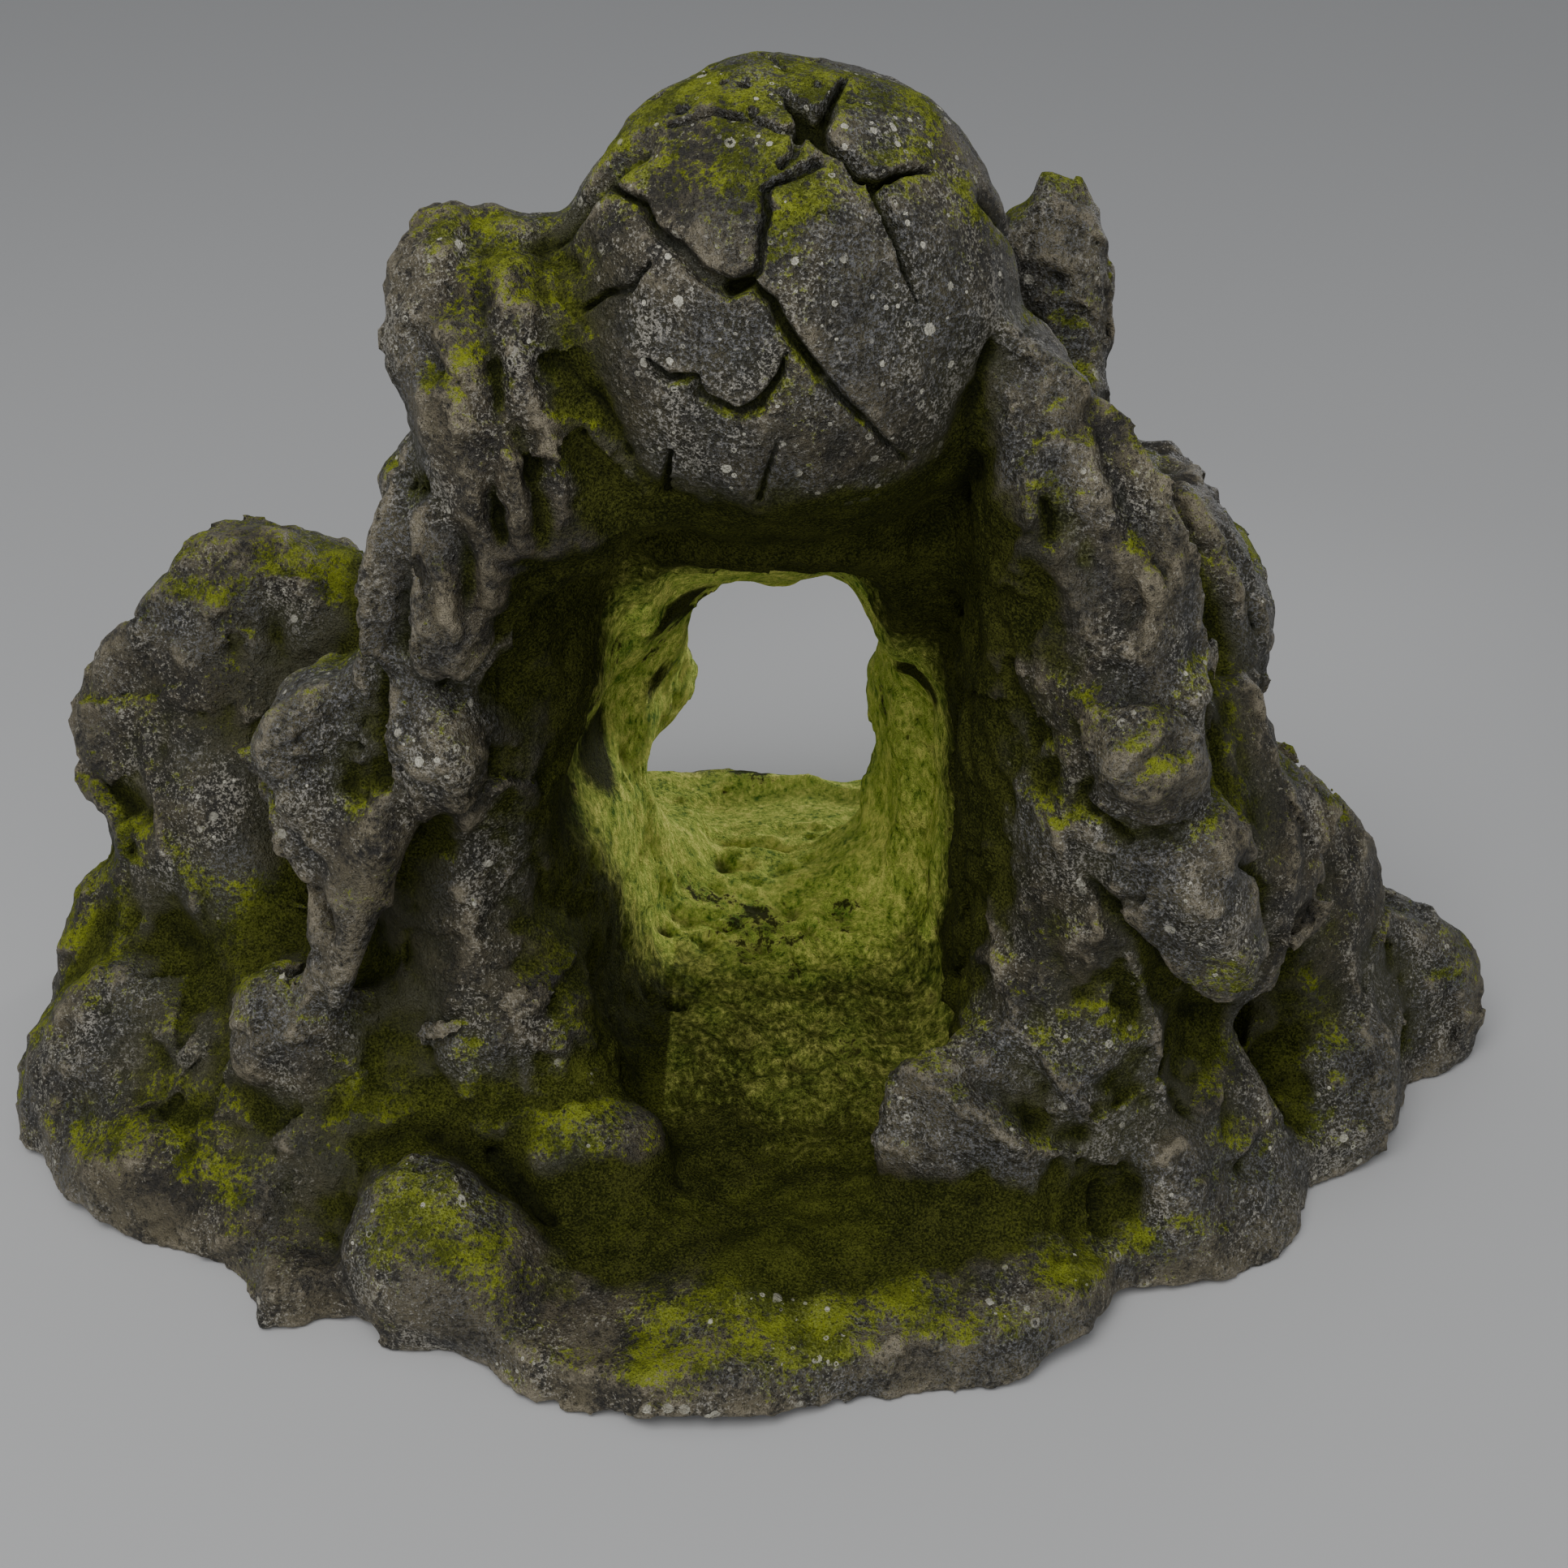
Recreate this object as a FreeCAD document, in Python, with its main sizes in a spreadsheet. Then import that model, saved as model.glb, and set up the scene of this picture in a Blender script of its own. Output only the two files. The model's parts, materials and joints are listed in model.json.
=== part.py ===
"""Aquarium cave ornament: resin stone castings stacked into an arch with a swim-through passage.

The row frame has +Z up and +X to the right of somebody facing the front portal, which opens
towards -Y. The origin is on the flat underside of the ground slab, under the middle of the arch.
Every stone is its own casting. It is a stack of irregular oval rings, skinned with flat facets,
and then trimmed by the castings that were set before it, so that the glue faces fit.
"""
import FreeCAD, Part

import math
import os

from FreeCAD import Vector

OUT = "parts"

# Driving dimensions in millimetres. Each one is a cell of the sheet.
SIZES = {
    "slab_high": 9.0,         # ground slab, from its flat underside to its flat top
    "slab_edge": 3.0,         # how far the slab's top edge is drawn in
    "boulder_x": 6.0,         # crown boulder: middle, radius, and drop of its egg-shaped underside
    "boulder_y": -22.0,
    "boulder_z": 159.6,
    "boulder_radius": 34.6,
    "boulder_drop": 38.0,
    "path_high": 14.0,        # top of the passage floor above the rest plane
    "sill_high": 11.0,        # top of the rear sill above the rest plane
}

# Outline of the slab's underside, anticlockwise from the front left corner.
GROUND = [
    (-126, -38), (-119, -43), (-97, -51), (-87, -56), (-80, -71), (-57, -69), (-49, -73),
    (-36, -90), (-15, -94), (4, -91), (23, -86), (45, -82), (55, -74), (61, -61), (79, -58),
    (90, -53), (98, -40), (112, -29), (120, -19), (127, -5), (141, 6), (140, 26), (128, 46),
    (108, 62), (84, 80), (56, 92), (30, 104), (-12, 106), (-42, 98), (-70, 92), (-98, 76),
    (-118, 55), (-131, 30), (-136, 2), (-134, -18),
]

# The passage floor runs under both pillars. It narrows to a tongue in front of the portal.
FLOOR = [
    (-14, -66), (12, -66), (20, -54), (40, -40), (46, -20), (46, 62), (-34, 62), (-34, -20),
    (-30, -40), (-22, -56),
]
SILL = [(-32, 62), (44, 62), (40, 84), (30, 98), (18, 104), (-8, 105), (-20, 98), (-29, 84)]

# The open passage, as stations along Y: left foot, left waist, right waist, right foot, roof.
PASSAGE = {
    -50: (-22, -31, 34, 34, 129),
    -36: (-21, -30, 36, 37, 122),
    -5: (-15, -27, 34, 38, 108),
    32: (-15, -21, 29, 24, 88),
    60: (-14, -14, 25, 17, 74),
    115: (-24, -24, 32, 32, 88),
}

# Stones from the ground up. A ring is (z, x, y, half width, half depth, turn in degrees).
STONES = {
    "left_pillar": [
        (8, -50, 12, 31, 52, 0), (40, -47, 10, 25, 48, 0), (75, -45, 5, 22, 43, 0),
        (100, -43, 1, 20, 38, 0), (125, -38, -6, 18, 29, 0), (140, -34, -9, 11, 19, 0),
    ],
    "right_pillar": [
        (8, 60, 16, 27, 50, 0), (40, 58, 14, 24, 46, 0), (75, 55, 11, 21, 41, 0),
        (100, 52, 7, 19, 35, 0), (125, 47, 2, 15, 26, 0), (140, 44, 1, 10, 16, 0),
    ],
    "left_rear_jamb": [
        (8, -30, 52, 24, 20, 0), (30, -30, 52, 23, 20, 0), (55, -26, 51, 22, 18, 0),
        (76, -22, 48, 20, 17, 0), (90, -18, 44, 14, 13, 0),
    ],
    "right_rear_jamb": [
        (8, 42, 52, 24, 20, 0), (30, 42, 52, 23, 20, 0), (55, 40, 51, 22, 18, 0),
        (76, 36, 48, 20, 17, 0), (90, 32, 44, 14, 13, 0),
    ],
    "roof_stone": [
        (64, 6, 46, 38, 17, 0), (80, 6, 37, 42, 27, 0), (100, 7, 24, 42, 36, 0),
        (118, 7, 8, 38, 40, 0), (132, 7, 2, 30, 30, 0), (143, 7, 0, 18, 18, 0),
    ],
    "right_ridge": [
        (28, 50, -18, 15, 22, 0), (60, 53, -24, 19, 24, 0), (90, 54, -29, 20, 25, 8),
        (112, 52, -32, 18, 22, 14), (130, 48, -33, 14.5, 19, 16), (143, 44, -33, 11, 15, 14),
        (152, 41.5, -32, 8.5, 11, 10), (157, 40, -31, 5, 6, 0),
    ],
    "left_shoulder": [
        (122, -24, -41, 9, 8, 0), (129, -27.5, -39, 14.5, 12, 0), (141, -31, -35, 16, 17, 0),
        (152, -35, -31, 16.5, 19, 0), (162, -38, -28, 15.5, 17, 0), (169, -40, -26, 12, 13, 0),
        (173, -42, -25, 6, 7, 0),
    ],
    "left_upper_ledge": [
        (97, -57, -31, 4, 6, 0), (104, -52, -33, 9, 11, 0), (112, -47, -34, 13, 15, 0),
        (122, -45, -33, 13, 18, 0), (134, -42, -30, 12, 19, 0), (146, -38, -27, 7, 12, 0),
    ],
    "left_mid_ledge": [
        (78, -51, -38, 5, 5, 0), (85, -50, -38, 8.5, 9, 0), (95, -50, -36, 10, 13, 0),
        (104, -50, -34, 9, 12, 0), (110, -51, -32, 5, 8, 0),
    ],
    "left_tooth": [
        (45, -71, -37, 1.5, 2, 0), (56, -69.5, -37, 4, 4.5, 0), (66, -68, -37, 5.5, 7, 0),
        (72, -68, -35, 9.5, 9, 0), (84, -69, -33, 10.5, 11, 0), (94, -70, -31, 10, 11, 0),
        (100, -66, -30, 10, 11, 0), (105, -63, -29, 6, 8, 0),
    ],
    "left_wing_slab": [
        (6, -88, 16, 23, 21, 0), (28, -86, 15, 23, 20, 0), (44, -88, 14, 29, 18, 0),
        (54, -92, 14, 31, 17, 0), (66, -92, 15, 31.5, 16, 0), (80, -88, 16, 30, 15, 0),
        (92, -84, 17, 26, 14, 0), (100, -85, 18, 18, 12, 0), (107, -91, 18, 8, 7, 0),
    ],
    "right_ear": [
        (124, 49, 7, 8, 12, 0), (138, 49.5, 9, 7.5, 13, 0), (152, 50, 10, 7, 13, 0),
        (163, 50, 10, 6, 11, 0), (171, 48.5, 10, 3, 6, 0),
    ],
    "right_rear_bulge": [
        (74, 78, 2, 9, 13, 0), (88, 79, 2, 12, 18, 0), (101, 77, 2, 14, 20, 0),
        (113, 72, 2, 13, 18, 0), (124, 66, 2, 8, 11, 0),
    ],
    "right_knob": [
        (92, 60, -53, 5, 5, 0), (96, 60, -54, 8.5, 8.5, 0), (103, 60, -54, 10, 10, 0),
        (109, 59, -52, 8.5, 8.5, 0), (114, 58, -50, 4.5, 5, 0),
    ],
    "right_mid_fold": [
        (50, 77, -46, 3, 4, 0), (60, 73, -48, 8, 8, 0), (74, 68, -49, 13, 12, 0),
        (87, 65, -48, 13, 13, 0), (96, 63, -46, 8, 9, 0),
    ],
    "right_outer_fold": [
        (42, 84, -27, 8, 9, 0), (58, 83, -28, 11, 13, 0), (76, 79, -27, 12, 15, 0),
        (90, 76, -24, 9, 13, 0), (101, 73, -21, 5, 8, 0),
    ],
    "right_rear_stone": [
        (6, 90, 44, 34, 34, 0), (28, 86, 42, 29, 30, 0), (50, 80, 38, 22, 25, 0),
        (66, 76, 33, 14, 17, 0), (75, 74, 31, 7, 9, 0),
    ],
    "right_low_slab": [
        (18, 101, -2, 20, 21, 0), (38, 100, -1, 17, 19, 0), (52, 97, 0, 13, 15, 0),
        (63, 94, -1, 9, 10, 0), (70, 92, -2, 4, 5, 0),
    ],
    "right_outlier": [
        (0, 128, 9, 14, 15, 0), (10, 128.5, 10, 13.5, 14.5, 0), (21, 126, 10, 12, 13, 0),
        (29, 122, 10, 9, 10, 0), (34, 119, 10, 4, 5, 0),
    ],
    "left_rear_stone": [
        (8, -88, 50, 36, 31, 0), (28, -85, 47, 30, 27, 0), (52, -78, 43, 21, 20, 0),
        (70, -73, 38, 11, 12, 0), (77, -72, 36, 5, 6, 0),
    ],
    "left_inner_stone": [
        (26, -42, -31, 20, 16, 0), (42, -43, -28, 17, 14, 0), (54, -44, -24, 12, 11, 0),
        (61, -44, -20, 6, 7, 0),
    ],
    "left_mound": [
        (8, -64, -26, 44, 33, 0), (20, -65, -24, 40, 29, 0), (30, -66, -20, 33, 23, 0),
        (38, -66, -16, 24, 17, 0), (44, -65, -12, 11, 9, 0),
    ],
    "left_mound_knob": [
        (32, -78, -37, 11, 8, 0), (41, -78, -36, 10.5, 8, 0), (47, -77, -34, 8, 6, 0),
        (50, -76, -33, 4, 3, 0),
    ],
    "left_back_knob": [
        (26, -110, 1, 10, 10, 0), (42, -109, 1, 9, 9, 0), (52, -108, 1, 7, 8, 0),
        (58, -107, 2, 3.5, 4, 0),
    ],
    "left_outer_stone": [
        (8, -120, 9, 16, 17, 0), (22, -121, 8, 15, 15, 0), (34, -119, 7, 12, 12, 0),
        (42, -116, 7, 6, 7, 0),
    ],
    "left_low_stone": [
        (8, -113, -17, 20, 22, 0), (20, -112, -15, 18, 19, 0), (30, -111, -12, 14, 14, 0),
        (37, -110, -10, 7, 7, 0),
    ],
    "left_edge_stone": [
        (0, -131, -14, 7.5, 13, 0), (10, -131, -13, 7, 11, 0), (18, -130, -12, 5.5, 8, 0),
        (22, -129, -11, 3, 4, 0),
    ],
    "front_left_shelf": [
        (0, -92, -44, 29, 10, -16), (9, -92, -43, 27, 9.5, -16), (16, -92, -42, 21, 7.5, -16),
        (20, -91, -41, 12, 4, -16),
    ],
    "front_left_boulder": [
        (0, -52, -65, 15, 11, 0), (12, -52, -64, 14, 10.5, 0), (20, -53, -62, 11, 8.5, 0),
        (26, -54, -61, 5, 4, 0),
    ],
    "front_apron": [
        (0, 2, -68, 54, 20, -2), (8, 2, -66, 50, 18, -2), (12, 2, -62, 41, 14, -2),
        (14, 2, -60, 24, 8, -2),
    ],
    "path_pebble": [
        (9, -27, -45, 13, 9, 6), (17, -27, -44, 12, 8.5, 6), (22, -26, -43, 9, 6.5, 6),
        (26, -26, -42, 4.5, 3.5, 6),
    ],
    "front_right_stone": [
        (8, 54, -35, 20, 18, 0), (28, 54, -37, 19.5, 17, 0), (44, 53, -37, 18.5, 16, 0),
        (55, 51, -36, 15.5, 14, 0), (63, 50, -34, 8, 8, 0),
    ],
    "front_right_knob": [
        (8, 37, -50, 19, 13, 0), (22, 36, -50, 17, 12.5, 0), (33, 34, -50, 13, 11, 0),
        (41, 31, -50, 9, 8, 0), (46, 29, -49, 4.5, 4.5, 0),
    ],
    "front_right_step": [
        (8, 69, -50, 10, 9, 0), (17, 69, -50, 9.5, 8, 0), (23, 68, -50, 7.5, 6, 0),
        (26, 67, -49, 4.5, 3.5, 0),
    ],
    "right_front_slab": [
        (0, 81, -39, 18, 16, 0), (14, 80, -38, 16, 14, 0), (28, 78, -35, 11, 10, 0),
        (38, 76, -32, 5, 5, 0),
    ],
    "right_low_stone": [
        (0, 105, -14, 19, 19, 0), (12, 104, -13, 18, 18, 0), (24, 102, -10, 15.5, 15, 0),
        (33, 100, -7, 9, 9, 0),
    ],
    "rear_brow_stone": [
        (84, 8, 56, 15, 7, 0), (92, 8, 54, 25, 12, 0), (103, 8, 47, 28, 17, 0),
        (114, 8, 40, 22, 16, 0), (121, 8, 36, 10, 9, 0),
    ],
    "rear_left_ledge": [
        (54, -50, 62, 7, 7, 0), (64, -49, 60, 13, 13, 0), (78, -47, 55, 15, 17, 0),
        (91, -45, 49, 12, 15, 0), (99, -44, 46, 5, 7, 0),
    ],
    "rear_left_stone": [
        (8, -50, 84, 20, 15, 10), (20, -50, 82, 18, 14, 10), (31, -49, 79, 13, 11, 10),
        (38, -48, 77, 6, 6, 10),
    ],
    "rear_right_stone": [
        (8, 58, 83, 19, 14, -12), (22, 58, 81, 17, 13, -12), (36, 57, 77, 12, 10, -12),
        (43, 56, 74, 5, 5, -12),
    ],
    "left_slab_edge": [
        (0, -120, 30, 17, 20, 0), (10, -119, 30, 16, 18, 0), (21, -117, 30, 12, 14, 0),
        (28, -115, 30, 6, 7, 0),
    ],
    "crack_chip": [
        (175.8, 10.8, -48.9, 1.6, 1.6, 0), (177.4, 10.8, -48.9, 3.2, 3.4, 0),
        (180, 10.8, -48.4, 3, 3.6, 0), (181.6, 10.8, -48, 1.4, 2, 0),
    ],
}

# Irregular outline shared by all stones: (lobes, height, step of phase from ring to ring).
LOBES = [(2, 0.05, 0.5), (3, 0.06, -0.7), (5, 0.035, 1.1)]
SIDES = 12
RING_CELLS = ("up", "across", "along", "wide", "deep", "turn")


def fill_sheet(doc):
    """Writes the driving dimensions and every ring of every stone to the sheet."""
    sheet = doc.addObject("Spreadsheet::Sheet", "Sizes")
    row = 0
    for alias, value in SIZES.items():
        row += 1
        sheet.set(f"A{row}", alias)
        sheet.set(f"B{row}", str(value))
        sheet.setAlias(f"B{row}", alias)
    for stone, rings in STONES.items():
        for level, ring in enumerate(rings):
            row += 1
            sheet.set(f"A{row}", f"{stone} {level}")
            for column, word, value in zip("BCDEFG", RING_CELLS, ring):
                sheet.set(f"{column}{row}", str(value))
                sheet.setAlias(f"{column}{row}", f"{stone}_{level}_{word}")
    doc.recompute()
    return sheet


def ring_points(ring, level, phase):
    """The corners of one irregular oval ring."""
    up, across, along, wide, deep, turn = ring
    lean = math.radians(turn)
    points = []
    for side in range(SIDES):
        angle = 2 * math.pi * side / SIDES
        reach = 1.0
        for lobes, height, step in LOBES:
            reach += height * math.sin(lobes * angle + phase * lobes + step * level)
        x = wide * reach * math.cos(angle)
        y = deep * reach * math.sin(angle)
        points.append(Vector(
            across + x * math.cos(lean) - y * math.sin(lean),
            along + x * math.sin(lean) + y * math.cos(lean),
            up,
        ))
    return points


def skin(rings):
    """A closed solid of flat facets through rings that have the same number of corners."""
    count = len(rings[0])
    faces = []

    def facet(*corners):
        faces.append(Part.Face(Part.makePolygon([*corners, corners[0]])))

    for low, high in zip(rings, rings[1:]):
        for i in range(count):
            j = (i + 1) % count
            facet(low[i], low[j], high[j])
            facet(low[i], high[j], high[i])
    for cap in (rings[0], rings[-1]):
        facet(*cap)
    solid = Part.makeSolid(Part.makeShell(faces))
    if solid.Volume < 0:
        solid.reverse()
    return solid


def stone_form(sheet, stone, phase):
    """A stone before it is trimmed, from its rings in the sheet."""
    rings = []
    for level in range(len(STONES[stone])):
        ring = [float(sheet.get(f"{stone}_{level}_{word}")) for word in RING_CELLS]
        rings.append(ring_points(ring, level, phase))
    return skin(rings)


def passage_form(sheet):
    """The space that stays open: the volume swept by the stations in PASSAGE."""
    floor = float(sheet.get("path_high")) - 1
    rings = []
    for along, (left_foot, left_waist, right_waist, right_foot, roof) in PASSAGE.items():
        tall = roof - floor
        middle = (left_waist + right_waist) / 2
        crown = (right_waist - left_waist) / 4
        rings.append([
            Vector(left_foot, along, floor),
            Vector(right_foot, along, floor),
            Vector(right_waist, along, floor + 0.38 * tall),
            Vector(right_waist - 1, along, floor + 0.74 * tall),
            Vector(middle + crown, along, roof),
            Vector(middle - crown, along, roof),
            Vector(left_waist + 1, along, floor + 0.74 * tall),
            Vector(left_waist, along, floor + 0.38 * tall),
        ])
    return skin(rings)


def polygon_sketch(body, name, plane, points, offset=None):
    """A closed polygon sketch, at an offset from one of the body's own origin planes."""
    sketch = body.newObject("Sketcher::SketchObject", name)
    support = next(f for f in body.Origin.OriginFeatures if f.Role == plane)
    sketch.AttachmentSupport = [(support, "")]
    sketch.MapMode = "FlatFace"
    if offset:
        sketch.setExpression("AttachmentOffset.Base.z", offset)
    corners = [Vector(x, y, 0) for x, y in points]
    for a, b in zip(corners, corners[1:] + corners[:1]):
        sketch.addGeometry(Part.LineSegment(a, b), False)
    return sketch


def drawn_in(points, edge):
    """The outline moved in by about edge, towards the middle."""
    moved = []
    for x, y in points:
        far = math.hypot(x, y)
        moved.append((x * (far - edge) / far, y * (far - edge) / far))
    return moved


def ground_slab(doc):
    """The flat casting that everything stands on: a loft between its two outlines."""
    body = doc.addObject("PartDesign::Body", "GroundSlab")
    low = polygon_sketch(body, "SlabUnderside", "XY_Plane", GROUND)
    inner = drawn_in(GROUND, SIZES["slab_edge"])
    top = polygon_sketch(body, "SlabTop", "XY_Plane", inner, "Sizes.slab_high")
    loft = body.newObject("PartDesign::AdditiveLoft", "SlabLoft")
    loft.Profile = low
    loft.Sections = [top]
    loft.Ruled = True
    body.Label = "ground_slab"
    return body


def floor_body(doc, name, label, outline, high):
    """A flat casting between the pillars: an outline padded up from the slab's top."""
    body = doc.addObject("PartDesign::Body", name)
    sketch = polygon_sketch(body, name + "Outline", "XY_Plane", outline, "Sizes.slab_high")
    pad = body.newObject("PartDesign::Pad", name + "Pad")
    pad.Profile = sketch
    pad.setExpression("Length", f"Sizes.{high} - Sizes.slab_high")
    body.Label = label
    return body


def crown_boulder(doc):
    """The round keystone: half of an egg outline turned about its upright axis."""
    body = doc.addObject("PartDesign::Body", "CrownBoulder")
    sketch = body.newObject("Sketcher::SketchObject", "EggOutline")
    plane = next(f for f in body.Origin.OriginFeatures if f.Role == "XZ_Plane")
    sketch.AttachmentSupport = [(plane, "")]
    sketch.MapMode = "FlatFace"
    radius, drop = SIZES["boulder_radius"], SIZES["boulder_drop"]
    dome = Part.ArcOfCircle(
        Part.Circle(Vector(0, 0, 0), Vector(0, 0, 1), radius), 0, math.pi / 2,
    )
    bowl = Part.ArcOfEllipse(
        Part.Ellipse(Vector(0, -drop, 0), Vector(radius, 0, 0), Vector(0, 0, 0)),
        0, math.pi / 2,
    )
    sketch.addGeometry(dome, False)
    sketch.addGeometry(bowl, False)
    sketch.addGeometry(Part.LineSegment(Vector(0, -drop, 0), Vector(0, radius, 0)), False)
    turned = body.newObject("PartDesign::Revolution", "EggTurned")
    turned.Profile = sketch
    turned.ReferenceAxis = (sketch, ["V_Axis"])
    turned.Angle = 360
    body.Label = "crown_boulder"
    for axis in "xyz":
        body.setExpression(f"Placement.Base.{axis}", f"Sizes.boulder_{axis}")
    return body


def trimmed(doc, label, form, before):
    """The form less everything set before it. Chips that the cut leaves behind are dropped."""
    near = [other for other in before if other.BoundBox.intersect(form.BoundBox)]
    shape = form.cut(near) if near else form
    casting = max(shape.Solids, key=lambda solid: solid.Volume)
    feature = doc.addObject("Part::Feature", label.title().replace("_", ""))
    feature.Label = label
    feature.Shape = casting
    return feature


def build():
    """Makes the document and writes each casting to its own STEP file."""
    doc = FreeCAD.newDocument("CaveOrnament")
    sheet = fill_sheet(doc)
    slab = ground_slab(doc)
    path = floor_body(doc, "PathFloor", "path_floor", FLOOR, "path_high")
    sill = floor_body(doc, "RearSill", "rear_sill", SILL, "sill_high")
    crown = crown_boulder(doc)
    doc.recompute()
    nodes = [slab, path, sill, crown]
    passage = passage_form(sheet)
    before = [slab.Shape, path.Shape, sill.Shape, crown.Shape, passage]
    for number, stone in enumerate(STONES):
        form = stone_form(sheet, stone, 0.9 * number)
        casting = trimmed(doc, stone, form, before)
        before.append(casting.Shape)
        nodes.append(casting)
    doc.recompute()
    for feature in doc.Objects:
        if {"Invalid", "Error"} & set(feature.State):
            raise RuntimeError(f"{feature.Name} is {feature.State}")
    os.makedirs(OUT, exist_ok=True)
    for node in nodes:
        shape = node.Shape
        if shape.isNull() or not shape.isValid():
            raise RuntimeError(f"{node.Label} has no valid shape")
        shape.exportStep(os.path.join(OUT, node.Label + ".step"))
        print(f"{node.Label:20s} {len(shape.Solids)} solids {shape.Volume / 1000:8.1f} cc")


build()
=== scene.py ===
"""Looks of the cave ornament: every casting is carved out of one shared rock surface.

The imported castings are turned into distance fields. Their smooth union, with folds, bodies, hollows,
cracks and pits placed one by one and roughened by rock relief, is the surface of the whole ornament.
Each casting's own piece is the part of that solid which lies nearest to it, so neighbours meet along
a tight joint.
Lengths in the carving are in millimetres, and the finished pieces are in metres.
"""
import json
import math
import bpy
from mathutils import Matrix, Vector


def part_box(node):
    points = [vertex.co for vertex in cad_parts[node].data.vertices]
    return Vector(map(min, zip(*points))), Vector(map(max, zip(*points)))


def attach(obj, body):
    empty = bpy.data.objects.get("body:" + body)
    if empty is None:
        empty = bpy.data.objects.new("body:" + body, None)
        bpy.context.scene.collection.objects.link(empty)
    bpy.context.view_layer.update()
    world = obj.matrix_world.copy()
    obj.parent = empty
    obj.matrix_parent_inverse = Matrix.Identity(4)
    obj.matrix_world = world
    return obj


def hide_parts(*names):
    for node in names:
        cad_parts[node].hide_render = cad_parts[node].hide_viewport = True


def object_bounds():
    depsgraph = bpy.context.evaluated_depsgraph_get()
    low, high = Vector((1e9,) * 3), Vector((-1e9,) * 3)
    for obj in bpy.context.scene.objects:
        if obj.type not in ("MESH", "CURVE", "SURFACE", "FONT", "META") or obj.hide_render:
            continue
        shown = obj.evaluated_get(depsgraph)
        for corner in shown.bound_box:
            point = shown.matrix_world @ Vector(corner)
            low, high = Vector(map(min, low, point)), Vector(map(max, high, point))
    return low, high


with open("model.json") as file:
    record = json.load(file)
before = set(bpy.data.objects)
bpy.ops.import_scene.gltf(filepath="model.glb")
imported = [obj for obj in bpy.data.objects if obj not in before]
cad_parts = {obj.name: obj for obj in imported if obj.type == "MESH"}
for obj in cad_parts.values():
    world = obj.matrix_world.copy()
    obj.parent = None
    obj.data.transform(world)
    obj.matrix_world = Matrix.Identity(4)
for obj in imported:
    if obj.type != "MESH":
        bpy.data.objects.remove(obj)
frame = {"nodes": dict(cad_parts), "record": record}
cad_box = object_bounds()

from concurrent.futures import ThreadPoolExecutor
from functools import partial

import bpy
import numpy as np
import openvdb

MM = 1000.0                 # millimetres in a metre
COARSE = 1.25               # spacing of the grid that the castings' distances are kept on
FINE = 0.8                  # spacing of the grid that the surface is carved on
FINEST = 0.5                # the same for the boulder and its chip
FINEST_NODES = ("crown_boulder", "crack_chip")
MARGIN = 11.0               # how far the grids reach past the castings
FAR = 10.0                  # distances are only known this near to a surface
BAND = 4.6                  # relief is only worked out this near to the surface
WARP_BAND = 8.0             # the surface is only warped this near to it
BLEND = 3.5                 # how far two castings melt into each other
BODY_BLEND = 6.0            # the same for the bodies and hollows that are listed
SHRINK = 1.3                # how far chipped rock is drawn in, as filling gaps adds to it
REACH = 4.0                 # gaps narrower than twice this are filled, as resin and moss fill them
FILL_BLEND = 1.0            # how far the filling melts into the rock
ROUNDING = 2                # how many times a casting's field is averaged, which rounds its edges
KIND_FADE = 6               # the same for the kinds of carving, which fades one into the next
SAME = 0.01                 # two distances closer than this are the same
JOINT_LAP = 0.4             # how far a piece reaches past its joint, which hides the joint's rim
PIECE_RIM = (2.0, 3.0)      # how much less a piece's block holds than its casting's, low and high
DEEP = 2.4                  # joint faces this far under the surface are made of larger cells
DEEP_CELL = 4.0             # size of those cells
SHARP = math.radians(60)    # edges sharper than this are shaded as edges
CREST_BLUR = 2              # how often each map of hollows is averaged: the more, the wider the
CAVITY_BLUR = 4             # hollows that it tells of
SHADE_BLUR = 6
GLOOM_BLUR = 30
CHUNK = 60000               # points that are worked on at a time
BODY = "root"

# Boulder: centre and radius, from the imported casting.
boulder_low, boulder_high = (np.array(corner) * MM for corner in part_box("crown_boulder"))
BOULDER_R = (boulder_high[0] - boulder_low[0]) / 2
BOULDER_AT = np.array([
    (boulder_low[0] + boulder_high[0]) / 2,
    (boulder_low[1] + boulder_high[1]) / 2,
    boulder_high[2] - BOULDER_R,
])

# How each casting is carved: (folds, chips, lumps, rubble), each from 0 to 1. Any other is LOW.
ARCH = (1.0, 1.0, 0.2, 0.0)
LOW = (0.35, 1.0, 0.4, 0.0)
CARVING = {
    "crown_boulder": (0.0, 0.12, 0.1, 0.0),
    "crack_chip": (0.0, 0.2, 0.0, 0.0),
    "path_floor": (0.0, 0.1, 0.3, 1.0),
    "rear_sill": (0.0, 0.1, 0.3, 1.0),
    "ground_slab": (0.0, 0.35, 0.6, 0.2),
    "front_apron": (0.0, 0.35, 0.6, 0.2),
    "roof_stone": (0.4, 0.6, 1.0, 0.1),
    "left_rear_jamb": (0.3, 0.5, 1.0, 0.1),
    "right_rear_jamb": (0.3, 0.5, 1.0, 0.1),
    "left_pillar": (0.6, 0.7, 0.8, 0.0),
    "right_pillar": (0.6, 0.7, 0.8, 0.0),
    "left_shoulder": ARCH,
    "left_upper_ledge": ARCH,
    "left_mid_ledge": ARCH,
    "left_tooth": ARCH,
    "right_ridge": ARCH,
    "right_ear": ARCH,
    "right_mid_fold": ARCH,
    "right_outer_fold": ARCH,
    "right_rear_bulge": ARCH,
    "right_low_slab": ARCH,
    "rear_brow_stone": ARCH,
    "rear_left_ledge": ARCH,
}


# ---------------------------------------------------------------- grids and noise

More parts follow.
